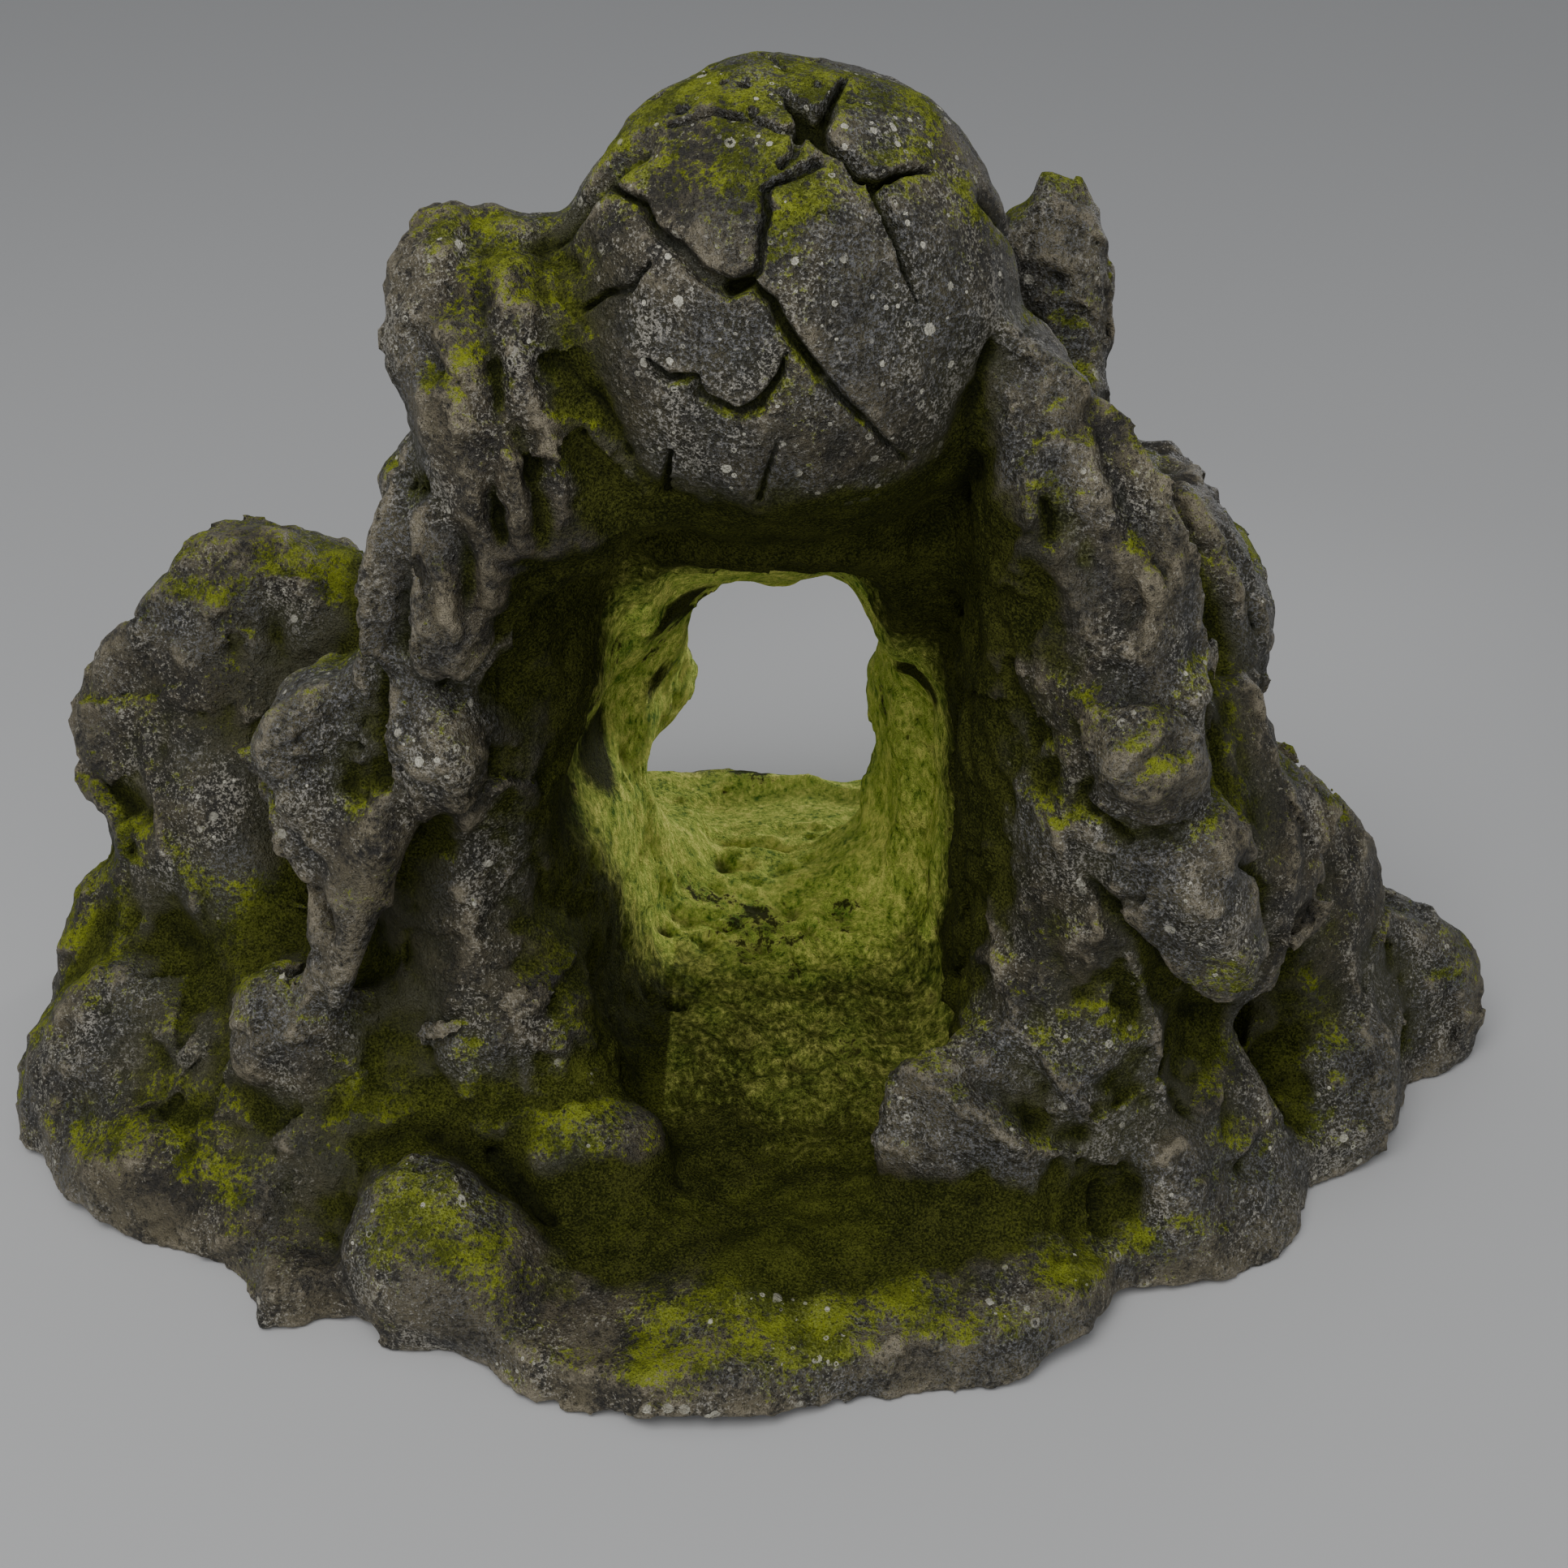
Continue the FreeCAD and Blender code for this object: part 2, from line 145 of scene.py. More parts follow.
class Block:
    """A box of grid points."""

    def __init__(self, low, high, step):
        self.step = step
        self.first = np.floor(np.asarray(low) / step).astype(int)
        last = np.ceil(np.asarray(high) / step).astype(int)
        self.shape = tuple(last - self.first + 1)

    def within(self, outer):
        """The slices of an outer block of the same spacing that this block covers."""
        return tuple(slice(s, s + n) for s, n in zip(self.first - outer.first, self.shape))

    def points(self, where):
        """The places of the grid points where the given array is true."""
        index = np.argwhere(where).astype(np.float32)
        return (index + self.first.astype(np.float32)) * np.float32(self.step)

    def spread(self, field, target):
        """A field of this block on the grid points of another block, axis by axis."""
        for axis in range(3):
            place = (target.first[axis] + np.arange(target.shape[axis])) * target.step
            place = np.clip(place / self.step - self.first[axis], 0, self.shape[axis] - 1.001)
            cell = place.astype(int)
            part = (place - cell).astype(np.float32)
            part = part.reshape([-1 if a == axis else 1 for a in range(3)])
            low = np.take(field, cell, axis=axis)
            field = low + (np.take(field, cell + 1, axis=axis) - low) * part
        return field

    def sample(self, field, points):
        """A field of this block at any points, from the eight grid points around each."""
        return in_chunks(lambda some: self.sample_some(field, some), points)

    def sample_some(self, field, points):
        place = points / np.float32(self.step) - self.first.astype(np.float32)
        place = np.clip(place, 0, np.array(self.shape, np.float32) - 1.001)
        cell = place.astype(np.int32)
        part = place - cell
        flat = field.reshape(-1)
        _, rows, columns = self.shape
        start = (cell[:, 0] * rows + cell[:, 1]) * columns + cell[:, 2]
        return mixed(lambda i, j, k: flat[start + (i * rows + j) * columns + k], part)


def in_chunks(work, points):
    """The result of work on all points, done a chunk at a time on several threads."""
    parts = [points[at:at + CHUNK] for at in range(0, len(points), CHUNK)]
    if not parts:
        return np.zeros(0, np.float32)
    return np.concatenate(list(workers.map(work, parts)))


def mixed(corner, part):
    """Corner values mixed by how far along each axis a point lies."""
    x, y, z = part.T
    sides = []
    for i in (0, 1):
        rows = []
        for j in (0, 1):
            low = corner(i, j, 0)
            rows.append(low + (corner(i, j, 1) - low) * z)
        sides.append(rows[0] + (rows[1] - rows[0]) * y)
    return sides[0] + (sides[1] - sides[0]) * x


def blurred(field, times):
    """A field averaged with its neighbours along each axis, the given number of times."""
    for _ in range(times):
        for axis in range(3):
            pad = [(0, 0)] * 3
            pad[axis] = (1, 1)
            wide = np.pad(field, pad, mode="edge")
            size = field.shape[axis]
            parts = [np.take(wide, range(start, start + size), axis=axis) for start in (0, 2)]
            field = (parts[0] + parts[1]) * np.float32(0.25) + field * np.float32(0.5)
    return field


def halved(block, field):
    """A block of twice the spacing, and the field there: each point the mean of eight."""
    x, y, z = (size // 2 * 2 for size in field.shape)
    field = field[:x, :y, :z].reshape(x // 2, 2, y // 2, 2, z // 2, 2)
    larger = Block(np.zeros(3), np.zeros(3), 2 * block.step)
    larger.first = block.first / 2 + 0.25
    larger.shape = tuple(size // 2 for size in (x, y, z))
    return larger, field.mean(axis=(1, 3, 5))


class Noise:
    """Smooth random numbers from -1 to 1, the same at the same place in every piece."""

    BITS = 5
    JITTER = 0.42               # how far a chip's seed strays from its lattice point, in cells
    JITTER_AT = (0, 977, 5119)  # where in the table its three parts are, counted from the seed's own
    SLOPE_AT = (71, 2003, 9001) # the same for the three parts of a chip's slope
    LEVEL_AT = 401              # the same for its level
    LEVEL = 0.4                 # how much chips differ in level

    def __init__(self, seed, squash=(1.0, 1.0, 1.0), turned=True):
        source = np.random.default_rng(seed)
        self.wrap = 2 ** self.BITS - 1
        self.table = source.uniform(-1, 1, 2 ** (3 * self.BITS)).astype(np.float32)
        turn = np.linalg.qr(source.normal(size=(3, 3)))[0] if turned else np.eye(3)
        self.matrix = (np.diag(squash) @ turn).astype(np.float32)
        self.shift = source.uniform(0, self.wrap, 3).astype(np.float32)

    def place(self, points, size):
        """Points on the noise's own lattice: whole cells, what is left, and a corner finder."""
        place = points @ self.matrix / np.float32(size) + self.shift
        cell = np.floor(place)
        part = place - cell
        cell = cell.astype(np.int32)
        sides = [
            [((cell[:, axis] + side) & self.wrap) << self.BITS * (2 - axis) for side in (0, 1)]
            for axis in range(3)
        ]
        return part, lambda i, j, k: sides[0][i] + sides[1][j] + sides[2][k]

    def at(self, points, size):
        part, slot = self.place(points, size)
        part = part * part * part * (part * (part * 6 - 15) + 10)
        return mixed(lambda i, j, k: self.table[slot(i, j, k)], part)

    def layered(self, points, size, layers):
        """Several sizes added up, each half as large and half as high as the one before."""
        return sum(self.at(points, size / 2 ** n) / 2 ** n for n in range(layers))

    def chips(self, points, size, tilt):
        """Flat facets: each point belongs to its nearest seed, and each seed has its own slope."""
        part, slot = self.place(points, size)
        last = len(self.table) - 1
        best = np.full(len(points), 9, np.float32)
        winner = np.zeros(len(points), np.int32)
        away = np.zeros_like(part)
        for corner in range(8):
            i, j, k = corner >> 2, corner >> 1 & 1, corner & 1
            here = slot(i, j, k)
            jitter = [self.table[(here + shift) & last] for shift in self.JITTER_AT]
            gap = part - np.array([i, j, k], np.float32) - self.JITTER * np.stack(jitter, axis=1)
            distance = np.einsum("ij,ij->i", gap, gap)
            nearer = distance < best
            best[nearer] = distance[nearer]
            winner[nearer] = here[nearer]
            away[nearer] = gap[nearer]
        slope = [self.table[(winner + shift) & last] for shift in self.SLOPE_AT]
        value = np.einsum("ij,ij->i", away, np.stack(slope, axis=1)) * tilt
        return value + self.table[(winner + self.LEVEL_AT) & last] * self.LEVEL


workers = ThreadPoolExecutor(4)


# ---------------------------------------------------------------- fields

def node_triangles(node):
    """A packed casting's vertices, in millimetres, and its triangles."""
    mesh = frame["nodes"][node].data
    mesh.calc_loop_triangles()
    places = np.empty(len(mesh.vertices) * 3, np.float32)
    mesh.vertices.foreach_get("co", places)
    corners = np.empty(len(mesh.loop_triangles) * 3, np.int32)
    mesh.loop_triangles.foreach_get("vertices", corners)
    return places.reshape(-1, 3) * MM, corners.reshape(-1, 3)


def node_distance(node):
    """The casting's own block of the coarse grid, and its rounded distance field there."""
    places, triangles = node_triangles(node)
    block = Block(places.min(axis=0) - FAR, places.max(axis=0) + FAR, COARSE)
    grid = openvdb.FloatGrid.createLevelSetFromPolygons(
        places, triangles=triangles,
        transform=openvdb.createLinearTransform(voxelSize=COARSE), halfWidth=FAR / COARSE,
    )
    field = np.zeros(block.shape, np.float32)
    grid.copyToArray(field, ijk=tuple(int(i) for i in block.first))
    return block, blurred(field, ROUNDING)


def filled(block, field):
    """The field of the same solid with its narrow gaps and holes filled in."""
    grid = openvdb.FloatGrid(FAR)
    grid.copyFromArray(np.ascontiguousarray(field - REACH))
    places, _, quads = grid.convertToPolygons(isovalue=0.0, adaptivity=0.0)
    grown = openvdb.FloatGrid.createLevelSetFromPolygons(
        (places * block.step).astype(np.float32), quads=quads[:, ::-1],
        transform=openvdb.createLinearTransform(voxelSize=block.step),
        halfWidth=(REACH + BAND + 1) / block.step,
    )
    closed = np.zeros(block.shape, np.float32)
    grown.copyToArray(closed)
    return smooth_least(field, closed + REACH, FILL_BLEND)


def smooth_least(a, b, blend):
    """The lesser of two fields, melted together where they are within blend of each other."""
    overlap = np.maximum(blend - np.abs(a - b), 0) / blend
    return np.minimum(a, b) - overlap * overlap * blend / 4


class Castings:
    """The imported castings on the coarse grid: their melted union, and whose part is whose."""

    def __init__(self):
        low, high = (np.array(corner) * MM for corner in cad_box)
        self.block = Block(low - MARGIN, high + MARGIN, COARSE)
        self.nodes = sorted(frame["nodes"])
        self.own = {node: node_distance(node) for node in self.nodes}
        far = np.full(self.block.shape, FAR, np.float32)
        self.union, self.first, self.second = far, far.copy(), far.copy()
        owner = np.zeros(self.block.shape, np.int16)
        for number, (block, field) in enumerate(self.own.values()):
            at = block.within(self.block)
            self.union[at] = smooth_least(self.union[at], field, BLEND)
            nearer = field < self.first[at]
            self.second[at] = np.where(nearer, self.first[at], np.minimum(self.second[at], field))
            self.first[at] = np.where(nearer, field, self.first[at])
            owner[at] = np.where(nearer, number, owner[at])
        kinds = np.array([CARVING.get(node, LOW) for node in self.nodes], np.float32)
        self.weights = [blurred(kinds[owner, kind], KIND_FADE) for kind in range(4)]
        self.union = filled(self.block, self.union)
        near = np.abs(self.union) < WARP_BAND
        places = self.block.points(near)
        self.union[near] = self.block.sample(self.union.copy(), warped(places))

    def share(self, node):
        """How far each point is inside the part of the rock that is this casting's own."""
        block, field = self.own[node]
        at = block.within(self.block)
        mine = field <= self.first[at] + SAME
        others = np.where(mine, self.second[at], self.first[at])
        return block, (field - others) / 2 - JOINT_LAP


# ---------------------------------------------------------------- forms placed one by one

# A fold is how far it stands out, or is cut in if less than 0, then the points it runs through.
# A point is (x, z, width) where it is found from the front, or (x, y, None, width) where it is found
# from above. One with all of (x, y, z, width) slides to the nearest surface.
FOLDS = (
    # left shoulder: the hanging strip, the small strip beside it, and the middle fold
    (3.0, (-42, 163, 5), (-40, 152, 8), (-39, 142, 6), (-39, 131, 2)),
    (2.5, (-32, 145, 5), (-32, 132, 2)),
    (2.5, (-34, 169, 6), (-31, 158, 7), (-28, 147, 6), (-25, 136, 4)),
    # the valley between its two heads and on down, its creases, and its lower edge
    (-4.0, (-37, -28, None, 4), (-37, -38, None, 6), (-36, 166, 6), (-35, 160, 4),
     (-33, 151, 5), (-30, 143, 5), (-29, 132, 3)),
    (-3.5, (-48, 163, 2), (-43, 158, 5), (-36, 152, 3)),
    (-4.0, (-35.5, 147, 2), (-35.5, 132, 4)),
    (-2.0, (-34, 172, 3), (-29, 171, 4), (-24, 169, 2)),
    (-2.0, (-26, 158, 2), (-21, 153, 4), (-16, 145, 2)),
    (1.5, (-24, 150, 3), (-18, 143, 5), (-13, 134, 4)),
    (-4.5, (-31, 128, 4), (-22, 126, 6), (-14, 127, 5)),
    # upper ledge: the thin blade at its left, the block in front, the cleft between, the undercut
    (3.0, (-50, 141, 3), (-56, 119, 4), (-57, 108, 2)),
    (2.5, (-47, 136, 6), (-44, 126, 7), (-43, 117, 6), (-43, 110, 3)),
    (2.0, (-37, 131, 5), (-36, 122, 5)),
    (-4.0, (-48, 139, 3), (-51, 123, 4), (-53, 112, 4)),
    (-2.0, (-40, 133, 3), (-40, 121, 3)),
    (-4.5, (-52, 107, 5), (-43, 105, 5), (-36, 113, 5), (-31, 121, 5)),
    # tooth: its outer edge, the edge that runs down to its spike, the lobe and nub beside it
    (2.0, (-74, 99, 5), (-74, 91, 6), (-69, 77, 3)),
    (3.0, (-56, 90, 4), (-60, 78, 6), (-62, 68, 4)),
    (2.0, (-47, 104, 6), (-46, 96, 9), (-45, 88, 5)),
    (2.5, (-52, 88, 5), (-51, 83, 4)),
    # the cleft between tooth and lobe, the undercuts, and three worn bands
    (-4.5, (-58, 109, 4), (-59, 98, 4), (-58, 90, 3)),
    (-4.5, (-79, 84, 6), (-72, 72, 6), (-69, 62, 5)),
    (-4.5, (-55, 74, 5), (-47, 80, 5), (-39, 89, 5)),
    (-1.2, (-75, 93, 2), (-62, 99, 2.5)),
    (-1.2, (-74, 87, 2), (-61, 93, 2.5)),
    (-1.2, (-72, 82, 2), (-62, 87, 2.5)),
    # wing: the fold down its outer side, the fold down to the knob behind it, and the notch
    (-2.5, (-86, 15, None, 5), (-84, 96, 12), (-82, 74, 10)),
    (2.5, (-108, 74, 4), (-105, 54, 6), (-103, 44, 6), (-101, 37, 3)),
    (-4.0, (-126, 64, 4), (-115, 58, 5), (-108, 60, 4)),
    # right ridge: its crest, and the edge between its light plane and the passage side
    (3.0, (37, 159, 4), (47, 152, 6), (53, 145, 5), (58, 138, 5),
     (63, 130, 5), (67, 120, 5), (70, 109, 3)),
    (2.0, (36, 153, 4), (41, 134, 5), (50, 118, 4)),
    # the hollow of its light plane, the crease beside its crest, and three pockets
    (-1.5, (42, 146, 5), (48, 134, 8), (57, 119, 5)),
    (-3.0, (50, 149, 3), (54, 141, 4), (59, 131, 4), (61, 126, 2)),
    (-2.5, (43, 137, 2), (43, 132, 4)),
    (-3.0, (53, 113, 4), (58, 111, 4)),
    # right side: the folds behind the ridge, the middle fold, the outer fold, and their clefts
    (2.5, (70, 123, 4), (74, 118, 6), (79, 109, 6), (82, 96, 3)),
    (-4.0, (78, 117, 3), (82, 111, 4), (84, 102, 3)),
    (-3.0, (50, 90, 4), (58, 86, 5), (65, 87, 5), (72, 93, 4)),
    (3.0, (60, 84, 6), (70, 76, 8), (77, 64, 6), (81, 48, 2)),
    (-4.5, (73, 95, 4), (79, 81, 5), (83, 65, 5), (86, 50, 3)),
    (2.5, (80, 96, 6), (87, 81, 7), (87, 67, 4)),
    (-4.0, (89, 88, 4), (95, 74, 5), (93, 58, 4)),
    (-4.0, (56, 72, 3), (64, 62, 4), (78, 46, 3)),
    # front right stone: its two edges, the low ridge from the knob to the step, and the cleft
    (3.0, (39, 64, 4), (43, 48, 5), (54, 36, 4)),
    (3.0, (60, 63, 4), (66, 47, 5), (69, 30, 4)),
    (-2.0, (50, 60, 4), (55, 44, 6)),
    (-2.5, (35, 45, 3), (38, 40, 4), (48, 32, 4)),
    (2.5, (28, 42, 5), (44, 31, 4), (60, 23, 3)),
    # passage: the step in front of the rear sill, and the worn rim of the sill
    (-4.5, (-17, 61, 14, 4), (4, 63, 14, 5), (23, 61, 14, 4)),
    (2.2, (-17, 89, None, 4), (-6, 99, None, 5), (12, 101, None, 5), (26, 92, None, 4)),
    # right: the gap behind the ridge's top, and the seam between the ridge and the boulder
    (-4.5, (34, -32, None, 3), (39, -22, None, 4), (46, -18, None, 5), (52, -15, None, 4)),
    (-4.5, (35, 158, 3), (33, 148, 5), (32, 138, 5), (31, 129, 4)),
    # front left: the seam behind the pebble, and the one round the boulder
    (-3.0, (-43, -44, None, 3), (-37, -35, None, 4), (-26, -33, None, 4), (-14, -36, None, 4)),
    (-3.5, (-66, -52, 24, 4), (-57, -47, 24, 4), (-43, -49, 20, 4), (-34, -57, 13, 3)),
)
# Rounded bodies (x, y, z, radius) that are added just where they are: the spike under the tooth, the
# foot of the wing, the feet of the jambs, the pebble, the front left boulder, and the rock between the
# round boulder and the right ear.
BODIES = (
    ((-59, -40, 78, 5), (-68, -44, 48, 1.2)),
    ((-95, 3, 58, 11), (-89, -5, 36, 12)),
    ((-17, 63, 14, 7), (-20, 50, 14, 9)),
    ((20, 62, 12, 6), (24, 46, 13, 9)),
    ((-33, -46, 17, 8), (-22, -45, 17, 8.5)),
    ((-53, -64, 11, 13), (-45, -65, 9, 12)),
    ((43, 12, 136, 8), (45, 11, 158, 6)),
)
# The same for what is taken away: the lower edge of the shoulder, the sill's dish, the bay at the foot
# of the left jamb, the flare of the passage's left wall, and its two upper corners.
HOLLOWS = (
    ((-27, -50, 118, 7), (-14, -46, 119, 9)),
    ((-7, 92, 34, 28), (14, 98, 34, 28)),
    ((-13, 38, 46, 7), (-18, 62, 33, 9)),
    ((-18, 62, 33, 9), (-23, 104, 24, 12)),
    ((-22, -12, 72, 11), (-19, 14, 66, 10)),
    ((-4, 32, 80, 7), (-7, 62, 68, 8)),
    ((-7, 62, 68, 8), (-12, 104, 68, 14)),
    ((16, 32, 80, 7), (18, 62, 68, 8)),
    ((18, 62, 68, 8), (24, 104, 68, 14)),
)
# How high the passage's ceiling is from front to back, as (y, z).
CEILING = ((-36, 122), (-5, 108), (32, 88), (60, 74))
# Where the passage is bare of algae and the dark rock shows: (x, y, z, radius).
DARK_SPOTS = (
    (-30, 13, 64, 10), (-24, 37, 69, 8), (-15, 13, 95, 9), (25, 22, 28, 10), (29, 17, 75, 6),
)

# The boulder's marks lie on a disc that faces forwards and 30 degrees up: (right, up, radius).
DISC_TILT = math.radians(30)
CRACKS = (
    # the long crack, its branch up to the chip, and the crack at the left
    (2.4, (-25, 11, 0.7), (-20, 7, 1.0), (-18.5, 3, 1.2), (-15, 0, 1.9), (-12, -3.5, 1.5),
     (-8, -6, 2.0), (-5, -5.5, 1.2), (-2.5, -8, 1.2), (-1, -11, 1.6), (2, -14.5, 1.3),
     (5, -18, 1.2), (11, -23, 1.0), (18, -27, 0.6)),
    (2.0, (-8, -6, 1.4), (-4, -4, 0.9), (-3.5, 0, 0.8), (-2.5, 4, 1.0), (-3, 7, 0.8), (0, 8.5, 0.9),
     (4, 11, 1.3)),
    (1.4, (-28, -6, 0.6), (-25, -4.5, 0.9), (-22, -5, 0.9), (-18.5, -2, 0.6)),
    # the star: its hole and its arms
    (4.4, (1.5, 21.5, 2.2), (3.5, 18.5, 3.6), (5.5, 14.5, 2.4)),
    (3.6, (-0.5, 24, 0.6), (3, 20, 2.6)),
    (3.6, (8, 26, 0.6), (6, 22, 1.2), (5, 19, 2.4)),
    (2.2, (-16, 18, 0.6), (-10, 19.5, 1.1), (-5, 18.5, 1.0), (-1, 16.5, 1.4), (2, 17, 2.2)),
    (2.0, (-1, 10, 0.7), (1, 12.5, 1.2), (2, 17, 1.6)),
    (3.4, (6, 14, 2.2), (8.5, 12.5, 1.4), (10.5, 9.5, 2.0), (14, 9.5, 1.2), (16, 11, 1.0),
     (20, 12, 0.5)),
    (2.8, (12, 9, 1.8), (13.5, 5, 1.5), (15, 2, 1.6), (17, -3, 1.0), (19, -7, 0.5)),
    (1.2, (0, 28, 0.6), (-3, 31, 0.9), (-6, 32.5, 0.5)),
    # the flaked plate and the short cracks under it
    (2.0, (-19, -14, 0.7), (-16.5, -17, 1.4), (-13, -17.5, 1.0), (-12.5, -20, 1.7), (-7, -22.5, 1.4),
     (-4, -21.5, 1.7), (-1, -18, 0.9), (0, -15, 0.5)),
    (1.6, (-16, -25, 0.7), (-17, -29, 1.1)),
    (1.2, (-1, -25, 0.6), (-4, -32, 0.9)),
    # the pits round the pole
    (2.0, (-12, 30, 1.6)), (2.0, (-11, 28, 1.3)), (1.8, (-6, 25, 1.4)), (1.5, (-9, 25.5, 1.1)),
    (2.0, (-14.5, 20.5, 1.5)), (1.8, (-5, 20, 1.3)), (2.0, (3, 32, 3.0)), (1.6, (13, 28, 1.3)),
    (1.6, (4.5, 25, 1.2)), (1.5, (7.5, 31, 1.2)), (1.3, (-18, 24, 1.0)), (1.3, (9, 22, 0.9)),
)
CRACK_WIDTH = 0.78          # the cracks' widths were written down a little too wide
STROKE_REACH = 7.0          # how far above and below the surface a stroke still works
FOLD_STEEP = 1.0            # a fold's sides are soft
CRACK_STEEP = 2.2           # a crack's sides are steep, with a floor between them
WANDER = 0.16               # how far a stroke strays from its line, for each millimetre of width
WANDER_WIDTH = 5.0          # wider strokes stray no further than one of this width
WANDERS = ((1.0, 6.0), (0.7, 2.2))  # how much it strays, over what length
LOOK_STEP = 0.5             # steps in which the surface is looked for along a line
SETTLING = 4                # how many times a point is moved closer to the surface
FLATTEST = 0.1              # the least slope that it is moved by


def settled(castings, x, y, z):
    """The point on the surface, and which way is out of the rock there; y or z may be None."""
    low, high = (np.array(corner) * MM for corner in cad_box)
    if y is None:
        line = [(x, along, z) for along in np.arange(low[1], high[1], LOOK_STEP)]
    elif z is None:
        line = [(x, y, along) for along in np.arange(high[2], low[2], -LOOK_STEP)]
    else:
        line = [(x, y, z)]
    line = np.array(line, np.float32)
    point = line[np.argmax(castings.block.sample(castings.union, line) < 0)]
    for _ in range(SETTLING):
        sides = np.concatenate([np.eye(3), -np.eye(3), np.zeros((1, 3))]).astype(np.float32) + point
        values = castings.block.sample(castings.union, sides)
        slope = (values[:3] - values[3:6]) / 2
        steepness = max(float(slope @ slope), FLATTEST)
        point = point - values[6] * slope / steepness
    return point, slope / math.sqrt(steepness)


def on_rock(castings, points):
    """A fold's marks: where each lies, its width, and which way is out of the rock."""
    marks = []
    for *place, width in points:
        x, y, z = place if len(place) == 3 else (place[0], None, place[1])
        point, out = settled(castings, x, y, z)
        marks.append((*point, width, *out))
    return np.array(marks, np.float32)


def on_boulder(points):
    """The same for a crack of the boulder."""
    marks = []
    sine, cosine = math.sin(DISC_TILT), math.cos(DISC_TILT)
    for right, up, width in points:
        toward = math.sqrt(BOULDER_R ** 2 - right ** 2 - up ** 2)
        out = np.array([right, up * sine - toward * cosine, up * cosine + toward * sine])
        marks.append((*(BOULDER_AT + out), width * CRACK_WIDTH, *(out / BOULDER_R)))
    return np.array(marks, np.float32)


def all_strokes(castings):
    """Every fold and crack as (how far out, how steep its sides are, marks)."""
    strokes = [(amount, FOLD_STEEP, on_rock(castings, points)) for amount, *points in FOLDS]
    return strokes + [(-depth, CRACK_STEEP, on_boulder(points)) for depth, *points in CRACKS]


def pairs(marks):
    return zip(marks[:-1], marks[1:]) if len(marks) > 1 else [(marks[0], marks[0])]


def nearness(points, marks):
    """1 on the line through the marks, falling to 0 a width to either side and at thin ends."""
    best = np.zeros(len(points), np.float32)
    for start, end in pairs(marks):
        run = end - start
        length = max(float(run[:3] @ run[:3]), 1e-6)
        part = np.clip((points - start[:3]) @ run[:3] / length, 0, 1)[:, None]
        gap = points - start[:3] - part * run[:3]
        width = start[3] + part[:, 0] * run[3]
        rise = np.einsum("ij,ij->i", gap, start[4:] + part * run[4:])
        side = np.sqrt(np.maximum(np.einsum("ij,ij->i", gap, gap) - rise * rise, 0))
        near = (1 - side / width) * np.sqrt(width / marks[:, 3].max())
        near[np.abs(rise) > STROKE_REACH] = 0
        best = np.maximum(best, near)
    return best


def from_balls(points, balls):
    """How far points are from the rounded body that runs through the two balls."""
    start, end = np.array(balls, np.float32)
    run = end - start
    part = np.clip((points - start[:3]) @ run[:3] / (run[:3] @ run[:3]), 0, 1)
    gap = points - start[:3] - part[:, None] * run[:3]
    return np.linalg.norm(gap, axis=1) - start[3] - part * run[3]


def around(block, marks, reach):
    """The part of a block near some marks, as slices, and the places of its grid points."""
    low = np.floor((marks[:, :3].min(axis=0) - reach) / block.step).astype(int)
    high = np.ceil((marks[:, :3].max(axis=0) + reach) / block.step).astype(int)
    low = np.clip(low - block.first, 0, block.shape)
    high = np.clip(high - block.first, 0, block.shape)
    index = np.indices(np.maximum(high - low, 0)).reshape(3, -1).T + low + block.first
    return tuple(slice(a, b) for a, b in zip(low, high)), (index * block.step).astype(np.float32)


def stroked(field, block, strokes):
    """The field with the bodies added, the hollows cut, and every stroke worked into it."""
    for bodies, outward in ((BODIES, 1), (HOLLOWS, -1)):
        for balls in bodies:
            marks = np.array(balls, np.float32)
            local, places = around(block, marks, marks[:, 3].max() + BODY_BLEND)
            gap = from_balls(places, balls).reshape(field[local].shape)
            field[local] = outward * smooth_least(outward * field[local], gap, BODY_BLEND)
    for amount, steep, marks in strokes:
        width = marks[:, 3].max()
        local, places = around(block, marks, max(width, STROKE_REACH) + 1)
        if not len(places):
            continue
        wander = WANDER * min(width, WANDER_WIDTH)
        near = nearness(places + wander * strayed(places, WANDERS), marks)
        depth = near * near if steep == FOLD_STEEP else np.minimum(near * steep, 1)
        field[local] -= amount * depth.reshape(field[local].shape)
    return field


# ---------------------------------------------------------------- relief

WARP = [Noise(seed) for seed in (11, 12, 13)]
FOLD = Noise(21, squash=(1.0, 1.0, 0.22), turned=False)
FOLD_FINE = Noise(22, squash=(1.0, 1.0, 0.3), turned=False)
CHIP = Noise(31)
CHIP_FINE = Noise(32)
LUMP = Noise(41)
RUBBLE = Noise(51)
GRAIN = Noise(61)

WARPS = ((2.6, 30), (0.8, 11))      # how far the rock is warped, over what length
BENDS = ((1.6, 9),)                 # the same for its relief

# The layers of relief: how high, and how long from one rise to the next.
RIDGE_HIGH, RIDGE_LONG = 0.8, 13
CREASE_HIGH, CREASE_LONG = 0.4, 6
CHIP_HIGH, CHIP_LONG, CHIP_TILT = 1.3, 15, 1.1
FLAKE_HIGH, FLAKE_LONG, FLAKE_TILT = 0.55, 6, 1.1
LUMP_HIGH, LUMP_LONG = 0.9, 17
RUBBLE_HIGH, RUBBLE_LONG = 0.9, 7
GRAIN_HIGH, GRAIN_ON_CHIPS, GRAIN_LONG = 0.25, 0.3, 3.2


def strayed(points, layers):
    """How far each point is shifted to and fro by layers of noise, given as (how far, length)."""
    shift = [sum(far * noise.at(points, length) for far, length in layers) for noise in WARP]
    return np.stack(shift, axis=1)


